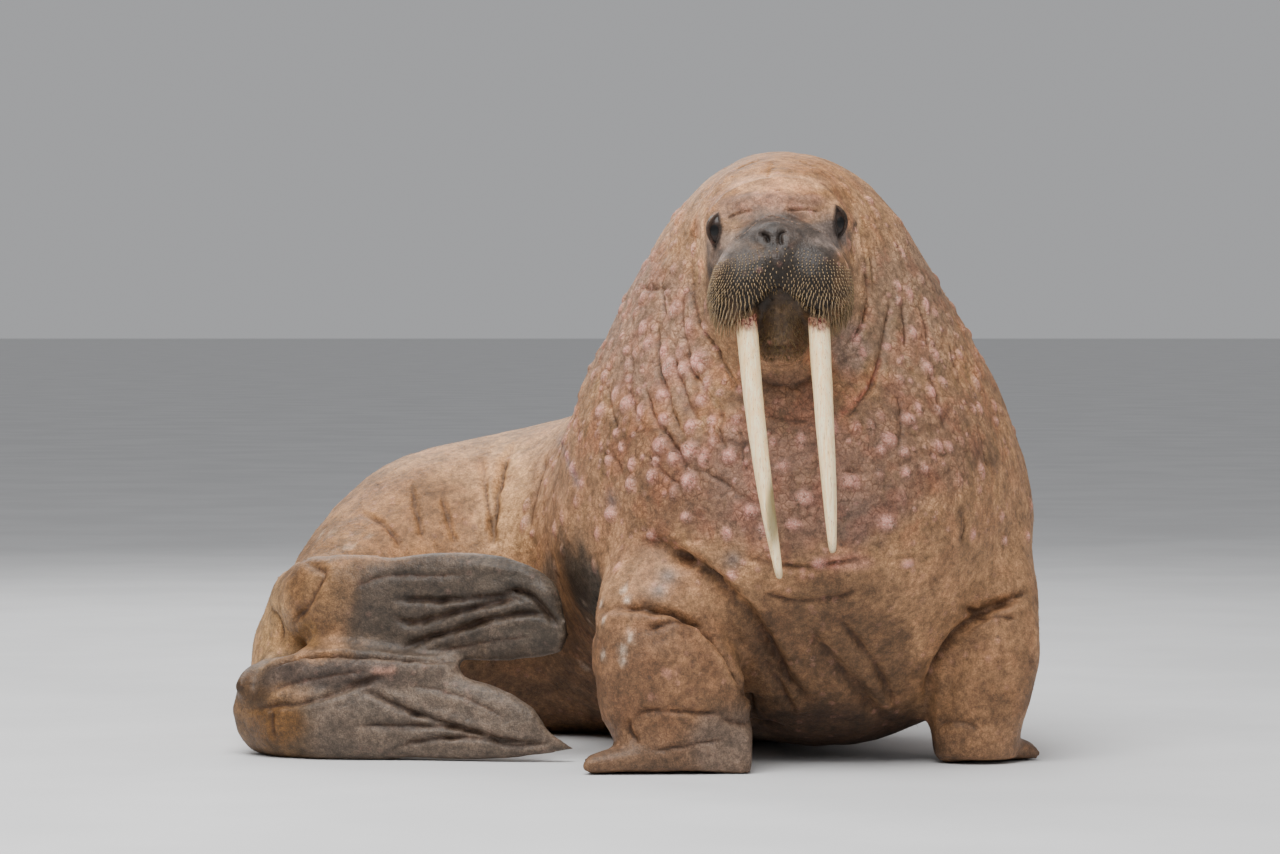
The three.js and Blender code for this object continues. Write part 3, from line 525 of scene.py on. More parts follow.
# More of the small ones stand on the front than on the back, and more on the animal's right.
chance = bell((at[:, 2] - STREWN_HEIGHT[0]) / STREWN_HEIGHT[1]) * smooth(-lie[:, 1], -0.8, 0.2)
chance *= within(at, *STREWN_BOX) & ~face_of(at)
chance *= 0.4 + 0.6 * smooth(-at[:, 0], -0.1, 0.15)
for n in rng.permutation(np.flatnonzero(rng.random(len(at)) < chance)):
    radius = rng.uniform(*STREWN_RADIUS)
    gaps = [np.linalg.norm(k[0] - at[n]) - k[2] for k in knobs]
    if min(gaps) > radius + STREWN_GAP:
        knobs.append((at[n], lie[n], radius, rng.uniform(*STREWN_TALL)))
    if len(knobs) >= len(KNOBS) + STREWN_KNOBS:
        break


BATCH = 4000  # points compared at a time


def beside(p, spots, reach):
    """The points within reach of a row of spots, and which spot each is nearest to."""
    near = np.flatnonzero(within(p, spots.min(0) - reach, spots.max(0) + reach))
    nearest = np.empty(len(near), int)
    for start in range(0, len(near), BATCH):
        part = near[start:start + BATCH]
        gap = ((p[part, None] - spots[None]) ** 2).sum(2)
        nearest[start:start + BATCH] = gap.argmin(1)
    close = ((p[near] - spots[nearest]) ** 2).sum(1) < reach ** 2
    return near[close], nearest[close]


def fold_distances(p, spots, outs, reach):
    """For points near a fold: their index, signed distance across it, and how full the fold is there."""
    near, nearest = beside(p, spots, reach)
    gap = p[near] - spots[nearest]
    out = outs[nearest]
    gap = gap - (gap * out).sum(1, keepdims=True) * out
    along = np.gradient(spots, axis=0)[nearest]
    left = (np.cross(out, along) * gap).sum(1) > 0
    share = nearest / (len(spots) - 1)
    full = smooth(np.minimum(share, 1 - share), 0, FOLD_END)
    return near, np.where(left, 1, -1) * np.linalg.norm(gap, axis=1), full


# The mesh is finest along the folds of the face and round the eyes, and coarsest on the far side.
NARROW_FOLD, FINE_FOLD = 0.012, 0.0055  # below these widths a fold gets a finer mesh, and a finer one yet
FOLD_ROOM, KNOB_ROOM = 1.5, 1.25  # widths of a fold and radii of a knob that are kept fine
KEPT_MARGIN = 0.009  # more than that, while the rest is made coarser
FRONT_BOX = ((-0.5, -0.2, 0.0), (0.62, 0.5, 1.3))
FAR_SHARE, FRONT_SHARE = 0.19, 0.34  # of the faces that stay there, away from folds and knobs


def folded(p, sets, finest, more):
    """Which points lie near the narrow furrows of some sets of folds."""
    found = np.zeros(len(p), bool)
    for fold_set in sets:
        for name in fold_set:
            depth, width, _, _, spots, _ = folds[name]
            if 0 < depth and width < finest:
                found[beside(p, spots, FOLD_ROOM * width + more)[0]] = True
    return found


def knobbed(p, more):
    """Which points lie on or near a knob."""
    found = np.zeros(len(p), bool)
    for spot, _, radius, tall in knobs:
        found |= ((p - spot) ** 2).sum(1) < (KNOB_ROOM * radius * max(tall, 1) + more) ** 2
    return found


EYES = {"eye_right": -1, "eye_left": 1}  # and the side it is on
eye_at = {name: (sum(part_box(name), Vector()) / 2 - MIDDLE) for name in EYES}
EYE_ROOM = 0.055  # the skin that shapes the lids, from the middle of the eye


def lidded(p):
    return np.any([((p - np.array(c)) ** 2).sum(1) < EYE_ROOM ** 2 for c in eye_at.values()], 0)


for far in (True, False):
    at = places(hide)
    kept = face_of(at) | flippers_of(at) | folded(at, FOLD_SETS, NARROW_FOLD, KEPT_MARGIN)
    kept |= knobbed(at, KEPT_MARGIN)
    front = within(at, *FRONT_BOX) & (outward(hide)[:, 1] < 0.1)
    if far:
        coarsen(hide, ~(kept | front), FAR_SHARE)
    else:
        coarsen(hide, front & ~kept, FRONT_SHARE)
at = places(hide)
refine(hide, face_of(at) | folded(at, FOLD_SETS, NARROW_FOLD, 0.003) | knobbed(at, 0.002))
at = places(hide)
refine(hide, folded(at, [FACE_FOLDS], FINE_FOLD, 0.002) | lidded(at))
soften(hide, np.ones(len(hide.data.vertices), bool), 1)

# Every furrow, knob and lump pushes the skin out or in along its own direction. Rolls run in rings round
# the head's middle over neck, back and flank. The face has neither lumps nor rolls, the flippers few.
HEAD_MIDDLE = Vector((0.01, 0.10, 1.0))
RING = 0.115  # from one roll to the next
RING_SWAY, RING_SWAY_SIZE = 0.9, 0.35
ROLL = 0.0055  # height of a roll
ROLL_SINK = 0.6  # share of it by which the rolled skin lies lower
ROLL_DIRT_AND_SHADE = 0.45  # how dark the furrows between rolls are painted, with dirt and shade
SLITS = ("nostril_left", "nostril_right", "mouth")
LUMPS = ((0.085, 0.0032), (0.030, 0.0012))  # size and height
CALM_HEIGHT, CALM_HALF, CALM_FADE = 1.0, 0.25, 0.1  # the face: its middle, half its height and its edge
CALM_DEPTH, CALM_SIDE = 0.10, 0.17  # and how far it goes back and to the side
FLIPPER_SHARE = 0.15  # of lumps and rolls
FLOOR_GAP = 0.0005

at = places(hide)
lie = outward(hide)
move = np.zeros(len(at))
# how far each point is painted dark with dirt and shade in a furrow
furrow_dirt_and_shade = np.zeros(len(at))
slit_shade = np.zeros(len(at))  # painted shade inside nostrils and mouth
knob = np.zeros(len(at))
for name, (depth, width, left, right, spots, outs) in folds.items():
    near, gap, full = fold_distances(at, spots, outs, FOLD_REACH * width)
    full = full * (FOLD_SHARE[0] + FOLD_SHARE[1] * drift(at[near], FOLD_SHARE[2], 3, 1))
    rolls = np.where(gap > 0, left, right)
    valley = np.exp(-(np.abs(gap / width) ** VALLEY_POWER))
    shoulder = bell((np.abs(gap) - SHOULDER_AT * width) / (SHOULDER_WIDTH * width))
    move[near] += full * (rolls * shoulder - depth * valley)
    if depth > 0:
        furrow_dirt_and_shade[near] = np.maximum(furrow_dirt_and_shade[near], full * bell(gap / (DIRT_AND_SHADE_WIDTH * width)))
    if name in SLITS:
        slit_shade[near] = np.maximum(slit_shade[near], np.sqrt(full) * bell(gap / width))
shades = np.concatenate([np.ones(len(KNOBS)), rng.uniform(*STREWN_PINK, STREWN_KNOBS)])
for shade, (spot, out, radius, tall) in zip(shades, knobs):
    near = np.flatnonzero(((at - spot) ** 2).sum(1) < (KNOB_REACH * radius * max(tall, 1)) ** 2)
    up = np.array((0, 0, 1.0)) - out * out[2]
    up /= np.linalg.norm(up)
    gap = at[near] - spot
    reach = np.sqrt(((gap @ np.cross(out, up)) / radius) ** 2 + ((gap @ up) / (radius * tall)) ** 2)
    mound = np.exp(-(reach ** 3))
    dip = bell((reach - KNOB_DIP[0]) / KNOB_DIP[1])
    move[near] += KNOB_RISE * radius * (mound - KNOB_DIP[2] * dip)
    knob[near] = np.maximum(knob[near], mound * shade)
calm = smooth(-np.abs(at[:, 2] - CALM_HEIGHT) + CALM_HALF, 0, CALM_FADE)
plain = 1 - calm * (at[:, 1] < CALM_DEPTH) * (np.abs(at[:, 0]) < CALM_SIDE)
plain = plain * np.where(flippers_of(at), FLIPPER_SHARE, 1)
for n, (size, height) in enumerate(LUMPS):
    move += plain * height * drift(at, size, 11 + n)
ring = np.linalg.norm(at - np.array(HEAD_MIDDLE), axis=1) / RING
ring = ring + RING_SWAY * drift(at, RING_SWAY_SIZE, 5, 1)
wave = np.abs(np.sin(math.pi * ring))
rolled = plain * smooth(lie[:, 1], -0.5, 0.1) * smooth(drift(at, 0.2, 8, 1), -0.5, 0.2)
move += ROLL * rolled * (smooth(wave, 0, 0.8) - ROLL_SINK)
furrow_dirt_and_shade = np.maximum(furrow_dirt_and_shade, ROLL_DIRT_AND_SHADE * rolled * (1 - smooth(wave, 0, 0.22)))
at += lie * move[:, None]
at[:, 2] = np.maximum(at[:, 2], FLOOR_GAP)
put(hide, at)

# Lids: the skin lies over each eyeball and opens in an upright almond, with its edge sunk beside the ball.
# A gaze is where the opening looks; an opening is half across and half up, seen from the middle of the eye.
GAZE = {"eye_right": Vector((-0.42, -0.89, -0.12)), "eye_left": Vector((0.60, -0.79, -0.10))}
OPENING = {"eye_right": (23, 57), "eye_left": (27, 59)}  # degrees
OPENING_LEAN = math.radians(8)  # the lower corner is further out
EYE_RADIUS = 0.027
EYE_TALL = 1.18  # the ball is this much taller than wide
LID_THICK = 0.0042
SINK = 0.006  # how far the skin goes in behind the ball's surface
ALMOND = (0.75, 0.25)  # how fast the opening narrows away from its middle: curved, and straight
# Edges in openings across, from and to: where the lid rises over the ball, where the skin comes up from
# behind the ball, where the lids turn into the face, and where their dark rim fades.
LID_EDGE, SINK_EDGE, LID_FADE, RIM_FADE = (0.85, 1.1), (0.82, 0.98), (1.25, 2.3), (1.15, 1.75)


def eye_axes(name):
    """Across, up and out of an eye, as rows."""
    out = GAZE[name].normalized()
    side = EYES[name]
    across = Vector((0, 0, 1)).cross(out).normalized()
    up = out.cross(across)
    turned = across * math.cos(OPENING_LEAN) + side * up * math.sin(OPENING_LEAN)
    return np.array([turned, out.cross(turned), out])


at = places(hide)
lid_edge = np.zeros(len(at))
for name in EYES:
    axes = eye_axes(name)
    half_across, half_up = (math.radians(a) for a in OPENING[name])
    local = (at - np.array(eye_at[name])) @ axes.T / (1, EYE_TALL, 1)
    reach = np.linalg.norm(local, axis=1)
    tilt = np.arctan2(np.linalg.norm(local[:, :2], axis=1), local[:, 2])
    turn = np.arctan2(local[:, 1], local[:, 0])
    a, b = tilt * np.cos(turn) / half_across, tilt * np.sin(turn) / half_up
    edge = np.abs(a) + b * b * ALMOND[0] + ALMOND[1] * np.abs(b)
    near = (reach < EYE_ROOM) & (edge < LID_FADE[1])
    radius = EYE_RADIUS + LID_THICK * smooth(edge, *LID_EDGE) - SINK * (1 - smooth(edge, *SINK_EDGE))
    keep = smooth(edge, *LID_FADE)
    radius = radius * (1 - keep) + reach * keep
    local *= (radius / reach)[:, None]
    at[near] = (local * (1, EYE_TALL, 1) @ axes + np.array(eye_at[name]))[near]
    lid_edge[near] = np.maximum(lid_edge[near], 1 - smooth(edge[near], *RIM_FADE))
put(hide, at)

# Paint. Each zone is a place and half size from the floor below the face; a seen zone is a middle and half
# size in picture points, and colours only what the camera sees. Later zones lie over earlier ones.
SKIN = (156, 120, 90)
ZONES = {
    # The lower body is painted darker: partly its own darker hide, partly painted shade beneath it
    "belly": ((-0.20, 0.50, 0.05), (0.75, 0.75, 0.26), (106, 82, 62), 0.9),
    "back": ((0.0, 0.75, 1.0), (0.5, 0.65, 0.4), (168, 130, 98), 0.8),
    "loin": ((-0.62, 1.0, 0.62), (0.45, 0.55, 0.25), (168, 130, 96), 0.8),
    "rump": ((-0.98, 0.75, 0.30), (0.25, 0.3, 0.22), (158, 124, 88), 0.8),
    "crown": ((0.0, 0.12, 1.18), (0.22, 0.26, 0.10), (146, 106, 72), 0.9),
    "hand_right": ((-0.21, 0.11, 0.03), (0.22, 0.14, 0.06), (104, 80, 62), 0.9),
    "hand_left": ((0.44, 0.38, 0.04), (0.15, 0.16, 0.07), (114, 88, 70), 0.9),
    "hind_upper": ((-0.66, 0.34, 0.31), (0.30, 0.14, 0.13), (68, 60, 52), 1.0),
    "hind_lower": ((-0.68, 0.35, 0.07), (0.34, 0.22, 0.15), (96, 83, 72), 1.0),
    "soles": ((-1.02, 0.42, 0.06), (0.12, 0.16, 0.12), (92, 70, 46), 0.8),
    "tail": ((-1.03, 0.46, 0.16), (0.07, 0.12, 0.07), (70, 52, 36), 0.9),
}
SEEN_ZONES = {
    "neck_right": (650, 330, 60, 80, (142, 113, 95), 0.85),
    "neck_left": (905, 310, 50, 80, (138, 112, 92), 0.85),
    "chest": (800, 480, 130, 75, (126, 97, 84), 0.85),
    "chest_right": (640, 480, 80, 70, (112, 82, 62), 0.8),
    "chest_left": (920, 440, 70, 60, (122, 94, 76), 0.8),
    "throat": (785, 405, 48, 38, (118, 90, 72), 0.9),
    # Painted shade between the arms and under the belly, over a darker hide
    "belly_front_shade": (820, 660, 90, 90, (98, 74, 54), 0.9),
    "under_belly_shade": (830, 735, 130, 30, (64, 48, 37), 0.9),
    "shoulder": (580, 500, 60, 60, (156, 120, 92), 0.7),
    "flank_edge": (508, 500, 22, 70, (200, 158, 118), 0.7),
    "flank": (400, 520, 70, 50, (136, 100, 70), 0.8),
    "hip": (322, 580, 44, 60, (116, 84, 56), 0.85),
    "rear_edge": (262, 615, 26, 50, (166, 132, 94), 0.7),
    "arm_right": (650, 670, 80, 70, (120, 89, 66), 0.9),
    "arm_left": (985, 680, 60, 80, (132, 100, 74), 0.9),
    "arm_grey": (728, 745, 36, 36, (108, 92, 80), 0.8),
    "hide_between": (520, 700, 75, 42, (112, 84, 62), 0.9),
    "upper_edge": (330, 590, 26, 34, (132, 102, 74), 0.6),
    # Painted shade of the slit between the hind flippers, over the plug that fills it
    "hind_slit_shade": (370, 674, 100, 14, (78, 66, 58), 0.9),
    "heel": (275, 725, 28, 20, (104, 74, 44), 0.9),
    "heel_upper": (308, 634, 12, 14, (124, 94, 60), 0.8),
    "foot_rim": (548, 590, 10, 34, (112, 100, 88), 0.8),
    "hood": (779, 184, 58, 9, (188, 144, 110), 0.85),
    "forehead": (775, 202, 58, 10, (140, 108, 90), 0.9),
    "brow": (775, 214, 58, 8, (134, 105, 88), 0.8),
    "cheek_right": (728, 250, 26, 22, (138, 118, 104), 1.0),
    "cheek_left": (824, 238, 30, 20, (108, 96, 89), 1.0),
    "rim_right": (701, 262, 5, 50, (206, 164, 128), 0.9),
    "rim_left": (857, 262, 5, 50, (202, 160, 126), 0.9),
    "nose": (773, 232, 38, 22, (66, 57, 51), 1.0),
    "pads": (779, 285, 76, 44, (36, 29, 22), 1.0),
    "pads_top": (778, 254, 56, 10, (50, 43, 38), 0.85),
    "lilac": (850, 352, 20, 28, (136, 116, 106), 0.7),
    "stain": (853, 520, 22, 24, (104, 86, 76), 0.6),
    "pink_band": (846, 562, 28, 9, (172, 126, 110), 0.6),
    # Painted shade of the ear opening, which has no hole in the mesh
    "ear": (854, 225, 3.2, 7, (70, 54, 44), 0.9),
}
LAST_ZONES = {  # as ZONES, and over the seen ones
    "chin": ((0.012, -0.03, 0.86), (0.056, 0.07, 0.075), (84, 66, 48), 1.0),
    "chin_roll": ((0.012, -0.02, 0.79), (0.060, 0.06, 0.022), (164, 130, 104), 0.9),
    "upper_tip": ((-0.45, 0.31, 0.31), (0.19, 0.12, 0.15), (74, 65, 56), 1.0),
    "upper_middle": ((-0.69, 0.34, 0.30), (0.18, 0.12, 0.12), (70, 60, 51), 1.0),
    "lower_tip": ((-0.52, 0.29, 0.08), (0.32, 0.14, 0.16), (100, 87, 76), 1.0),
    # Painted shade of the slit between the hind flippers, over the plug that fills it
    "between_hind_shade": ((-0.82, 0.37, 0.17), (0.22, 0.07, 0.035), (76, 64, 56), 1.0),
}
LEATHER = ("nose", "pads", "pads_top", "cheek_left", "cheek_right")  # bare, fine-grained skin
SCARS = {  # colour, width in millimetres, how strong, path
    "scratch_1": ((92, 66, 52), 3.5, 0.8, [(690, 654), (695, 673)]),
    "scratch_2": ((92, 66, 52), 3.5, 0.7, [(690, 680), (694, 711)]),
    "scratch_3": ((190, 140, 124), 4, 0.6, [(659, 672), (678, 676)]),
    "scratch_4": ((190, 140, 124), 4, 0.6, [(646, 689), (656, 700)]),
    "wound": ((120, 52, 44), 5, 0.9, [(561, 437), (567, 458), (573, 468), (577, 480)]),
    "wound_edge": ((128, 122, 122), 9, 0.5, [(559, 434), (565, 455), (572, 470), (578, 484)]),
    "wound_small": ((126, 66, 56), 4, 0.8, [(579, 429), (579, 438)]),
    "red_streak": ((158, 84, 74), 6, 0.6, [(878, 361), (873, 378), (863, 395), (841, 415)]),
    "neck_streak": ((74, 54, 42), 5, 0.6, [(960, 509), (962, 525), (959, 541)]),
    "pale_streak_1": ((196, 170, 146), 6, 0.6, [(320, 534), (341, 531), (372, 536)]),
    "pale_streak_2": ((196, 170, 146), 6, 0.6, [(335, 549), (364, 544)]),
    "heel_pink": ((178, 136, 118), 8, 0.6, [(376, 671), (392, 671)]),
}
SPOTS = {  # colour, width in millimetres, how strong, places in picture points
    "pale_flecks": ((236, 212, 190), 7, 0.8, [
        (623, 590), (627, 600), (584, 603), (601, 604), (603, 620), (589, 621),
        (623, 649), (603, 655), (623, 661), (584, 666), (630, 637),
    ]),
    "grey_smudges": ((100, 98, 98), 18, 0.7, [(612, 500), (733, 560), (668, 576), (659, 590)]),
}
# Dirt and painted shade in the furrows of folds and rolls
FURROW_DIRT_AND_SHADE_INK, FURROW_DIRT_AND_SHADE_SHARE = (64, 44, 32), 0.88
LID_INK, LID_SHARE = (44, 34, 29), 0.92
# Painted shade inside the nostrils and the mouth
SLIT_SHADE_INK, SLIT_SHADE_SHARE = (22, 16, 13), 0.95
VIVID = 1.14  # the view's tone curve dulls colours, so paints are made stronger by this
ZONE_EDGE = (0.65, 1.3)  # half sizes from a zone's middle, from and to which it fades
ZONE_SWAY, ZONE_SWAY_SIZE = 0.25, 0.06  # half sizes by which its edge wavers, and in lumps of what size
FAR_BACK = 1.0  # no seen zone reaches further back
UNSEEN = 3  # half sizes added where a seen zone has to end
SCAR_REACH = 0.03
FLIPPER_LEATHER = 0.8
RUGGED = ((0.03, 0.25, 0.76), (0.50, 0.60, 0.40))  # middle and half size of where the hide is most worn
RUGGED_EDGE = (0.75, 1.15)  # half sizes, from and to which that fades
RUGGED_LEAST = 0.25


def linear(colour):
    c = np.array(colour) / 255
    c = np.where(c <= 0.04045, c / 12.92, ((c + 0.055) / 1.055) ** 2.4)
    return np.clip(c.mean() + (c - c.mean()) * VIVID, 0.002, 1)


def seen_at(p):
    """Where the camera sees points, in picture points."""
    ray = (p - np.array(EYE_POINT - MIDDLE)) @ np.array(Matrix.Rotation(-DIP, 3, "X"))
    return PICTURE[0] / 2 + ray[:, 0] / ray[:, 1] * FOCAL, PICTURE[1] / 2 - ray[:, 2] / ray[:, 1] * FOCAL


def give(o, name, values, kind="FLOAT_COLOR"):
    """A point attribute of a mesh: a colour from rows of three, or a number from rows of one."""
    layer = o.data.attributes.new(name, kind, "POINT")
    if kind == "FLOAT_COLOR":
        rows = np.ones((len(values), 4))
        rows[:, :values.shape[1]] = values
        layer.data.foreach_set("color", rows.astype(np.float32).ravel())
    else:
        layer.data.foreach_set("value", np.asarray(values, np.float32))


def painted_over(tint, colour, share):
    """A tint with a share of a colour laid over it, point by point."""
    return tint + (linear(colour) - tint) * share[:, None]


def hide_paint(p, lie):
    """Colour and share of bare leather at places on the hide."""
    tint = np.tile(linear(SKIN), (len(p), 1))
    leather = flippers_of(p).astype(float) * FLIPPER_LEATHER
    px, py = seen_at(p)
    toward = np.array(EYE_POINT - MIDDLE) - p
    facing = (toward * lie).sum(1) / np.linalg.norm(toward, axis=1)
    sway = drift(p, ZONE_SWAY_SIZE, 21) * ZONE_SWAY
    cover = {}
    for name, (middle, half, colour, strength) in ZONES.items():
        cover[name] = (colour, strength, np.linalg.norm((p - middle) / half, axis=1))
    for name, (x, y, across, up, colour, strength) in SEEN_ZONES.items():
        reach = np.hypot((px - x) / across, (py - y) / up) + UNSEEN * (1 - smooth(facing, -0.15, 0.1))
        cover[name] = (colour, strength, reach + UNSEEN * (p[:, 1] > FAR_BACK))
    for name, (middle, half, colour, strength) in LAST_ZONES.items():
        cover[name] = (colour, strength, np.linalg.norm((p - middle) / half, axis=1))
    for name, (colour, strength, reach) in cover.items():
        share = strength * (1 - smooth(reach + sway, *ZONE_EDGE))
        tint = painted_over(tint, colour, share)
        if name in LEATHER:
            leather = np.maximum(leather, share)
    return tint, leather


at = places(hide)
lie = outward(hide)
tint, leather = hide_paint(at, lie)
skin = skin_of(hide)
for colour, width, strength, path in SCARS.values():
    spots, _ = laid(path, skin, SCAR_SWAY)
    near, nearest = beside(at, spots, SCAR_REACH)
    gap = np.linalg.norm(at[near] - spots[nearest], axis=1)
    tint[near] = painted_over(tint[near], colour, strength * bell(gap / (width * MM)))
for colour, width, strength, points in SPOTS.values():
    for px, py in points:
        spot = np.array(skin.ray_cast(EYE_POINT, sight(px, py))[0] - MIDDLE)
        gap = np.linalg.norm(at - spot, axis=1)
        tint = painted_over(tint, colour, strength * bell(gap / (width * MM)))
tint = painted_over(tint, FURROW_DIRT_AND_SHADE_INK, FURROW_DIRT_AND_SHADE_SHARE * furrow_dirt_and_shade)
tint = painted_over(tint, LID_INK, LID_SHARE * lid_edge)
tint = painted_over(tint, SLIT_SHADE_INK, SLIT_SHADE_SHARE * slit_shade)
rugged = 1 - smooth(np.linalg.norm((at - RUGGED[0]) / RUGGED[1], axis=1), *RUGGED_EDGE)
rugged = RUGGED_LEAST + (1 - RUGGED_LEAST) * rugged
rugged *= 1 - 0.8 * leather
# tint: the hide's colour, with the painted shade of furrows, slits, belly, the hind flippers' slit and the
# ear opening
give(hide, "tint", tint)
# marks: the furrows' dirt and painted shade, the knobs, bare leather and worn hide
give(hide, "marks", np.stack([furrow_dirt_and_shade, knob * (1 - leather), leather, rugged], 1))


# Hide material: the paint is mottled by noise, knobs are pinkish, and cracks, wrinkles and fine hairs stand
# out by a bump. Inks are levels of red, green and blue, and washes multiply what lies below them.
KNOB_INKS = ((196, 142, 126), (214, 150, 140))
KNOB_TOP_INK = (216, 198, 184)
FLECK_INK = (70, 56, 48)
PINK_WASH = (1.14, 0.92, 0.90)
OLIVE_WASH = (0.80, 0.84, 0.72)
CRACK_WASH = (0.42, 0.34, 0.28)
FINE_CRACK_WASH = (0.5, 0.45, 0.4)
WRINKLE_WASH = (0.5, 0.42, 0.36)
BUMP = 0.001  # metres, for a height of one
HAIR_WAY = (1.0, 1.0, 0.28)  # hairs and olive patches are drawn out up and down
NUMBER, VECTOR = "NodeSocketFloat", "NodeSocketVector"


def add(tree, kind, values, **settings):
    """A shader node: its settings, and its inputs set or wired by name or number."""
    made = tree.nodes.new("ShaderNode" + kind)
    for key, value in settings.items():
        setattr(made, key, value)
    for key, value in values.items():
        if isinstance(value, bpy.types.NodeSocket):
            tree.links.new(value, made.inputs[key])
        else:
            made.inputs[key].default_value = value
    return made


def math_of(tree, operation, a, b):
    return add(tree, "Math", {0: a, 1: b}, operation=operation).outputs[0]


def product(tree, *values):
    result = values[0]
    for value in values[1:]:
        result = math_of(tree, "MULTIPLY", result, value)
    return result


def scaled(tree, value, share):
    return add(tree, "VectorMath", {0: value, "Scale": share}, operation="SCALE").outputs[0]


def stretched(tree, value, way):
    return add(tree, "VectorMath", {0: value, 1: way}, operation="MULTIPLY").outputs[0]


def ink(colour, times=1.0):
    return (*(linear(colour) * times), 1)


def blend(tree, share, a, b, way="MIX"):
    return add(tree, "Mix", {0: share, 6: a, 7: b}, data_type="RGBA", blend_type=way).outputs[2]


def washed(tree, share, tone, wash):
    """A tone, multiplied by a wash as far as the share says."""
    return blend(tree, share, tone, blend(tree, 1.0, tone, (*wash, 1), "MULTIPLY"))


def ramp(tree, value, low, high, start=0.0, end=1.0):
    values = {"Value": value, 1: low, 2: high, 3: start, 4: end}
    return add(tree, "MapRange", values, interpolation_type="SMOOTHSTEP").outputs[0]


def noise_of(tree, vector, scale, detail=3.0, rough=0.55):
    return add(
        tree, "TexNoise", {"Vector": vector, "Scale": scale, "Detail": detail, "Roughness": rough}
    ).outputs[0]


def bumped(tree, height):
    return add(tree, "Bump", {"Strength": 1.0, "Distance": BUMP, "Height": height}).outputs[0]


def here_of(tree):
    """The place on the model."""
    return add(tree, "TexCoord", {}).outputs["Object"]


def point_value(tree, name):
    """What a point attribute of the mesh says."""
    return add(tree, "Attribute", {}, attribute_name=name).outputs


def parts_of(tree, colour):
    """The three numbers of a colour."""
    return add(tree, "SeparateColor", {0: colour}).outputs


def group_of(name, inputs, outputs):
    """A node group with its sockets, and its input and output nodes."""
    tree = bpy.data.node_groups.new(name, "ShaderNodeTree")
    for label, kind, start in inputs:
        socket = tree.interface.new_socket(label, in_out="INPUT", socket_type=kind)
        if start is not None:
            socket.default_value = start
    for label, kind in outputs:
        tree.interface.new_socket(label, in_out="OUTPUT", socket_type=kind)
    return tree, tree.nodes.new("NodeGroupInput"), tree.nodes.new("NodeGroupOutput")


def material_of(name, rough, specular=0.5):
    look = bpy.data.materials.new(name)
    look.use_nodes = True
    face = look.node_tree.nodes["Principled BSDF"]
    face.inputs["Roughness"].default_value = rough
    face.inputs["Specular IOR Level"].default_value = specular
    return look, look.node_tree, face


# Cracked skin: cells with worn edges, as on elephant hide. Gives the crack mask and the cells' swelling.
cracks, cracks_in, cracks_out = group_of(
    "cracked_skin",
    [("Vector", VECTOR, None), ("Scale", NUMBER, 60.0), ("Sway", NUMBER, 0.01)],
    [("Crack", NUMBER), ("Swell", NUMBER)],
)
swayed = add(cracks, "TexNoise", {"Vector": cracks_in.outputs[0], "Scale": 28.0, "Detail": 2.0}).outputs[1]
swayed = add(cracks, "VectorMath", {0: swayed, 1: (0.5, 0.5, 0.5)}, operation="SUBTRACT").outputs[0]
swayed = scaled(cracks, swayed, cracks_in.outputs[2])
swayed = add(cracks, "VectorMath", {0: cracks_in.outputs[0], 1: swayed}).outputs[0]
cells = add(
    cracks, "TexVoronoi", {"Vector": swayed, "Scale": cracks_in.outputs[1]}, feature="DISTANCE_TO_EDGE"
).outputs[0]
cracks.links.new(ramp(cracks, cells, 0.0, 0.14, 1.0, 0.0), cracks_out.inputs[0])
cracks.links.new(ramp(cracks, cells, 0.0, 0.45), cracks_out.inputs[1])

hide_look, tree, face = material_of("walrus_hide", 0.62, 0.35)
here = here_of(tree)
marks_node = point_value(tree, "marks")
# The first part of the marks is the furrows' dirt and painted shade; in the shader it only lowers the bump
furrow_dirt_and_shade_node, knob_node, leather_node = parts_of(tree, marks_node["Color"])
rough_hide = marks_node["Alpha"]
broad = noise_of(tree, here, 8.0)
patch = noise_of(tree, here, 26.0, 4.0, 0.6)
mottle = noise_of(tree, here, 85.0, 4.0, 0.65)
speck = noise_of(tree, here, 330.0, 3.0, 0.6)

# Small knobs, most on neck and chest, too small for the mesh
small = add(tree, "TexVoronoi", {"Vector": here, "Scale": 46.0, "Randomness": 1.0}).outputs
small_here = ramp(tree, parts_of(tree, small["Color"])[0], 0.55, 0.62)
small_knob = product(tree, ramp(tree, small["Distance"], 0.42, 0.12), small_here, rough_hide)
small_knob = product(tree, small_knob, ramp(tree, broad, 0.42, 0.56))

worn = add(tree, "Group", {"Vector": here, "Scale": 62.0, "Sway": 0.016}, node_tree=cracks).outputs
fine = add(tree, "Group", {"Vector": here, "Scale": 190.0, "Sway": 0.006}, node_tree=cracks).outputs
from_head = add(tree, "VectorMath", {0: here, 1: MIDDLE + HEAD_MIDDLE}, operation="SUBTRACT").outputs[0]
rings = add(
    tree, "TexWave",
    {"Vector": from_head, "Scale": 6.5, "Distortion": 9.0, "Detail": 3.0, "Detail Scale": 1.3},
    wave_type="RINGS", rings_direction="SPHERICAL",
).outputs["Fac"]
hair_way = stretched(tree, here, HAIR_WAY)
hair = noise_of(tree, hair_way, 620.0, 2.0)

# Broad to fine mottling, then pinkish and olive patches
tone = point_value(tree, "tint")["Color"]
for grain, low, high, darkest, lightest in (
    (broad, 0.35, 0.65, 0.88, 1.12), (patch, 0.30, 0.70, 0.64, 1.34),
    (mottle, 0.30, 0.70, 0.70, 1.32), (speck, 0.30, 0.70, 0.76, 1.24),
):
    tone = scaled(tree, tone, ramp(tree, grain, low, high, darkest, lightest))
pinkish = product(tree, ramp(tree, noise_of(tree, here, 15.0, 4.0), 0.48, 0.62), rough_hide, 0.75)
tone = washed(tree, pinkish, tone, PINK_WASH)
olive = product(tree, ramp(tree, noise_of(tree, hair_way, 33.0, 4.0), 0.54, 0.68), rough_hide, 0.7)
tone = washed(tree, olive, tone, OLIVE_WASH)

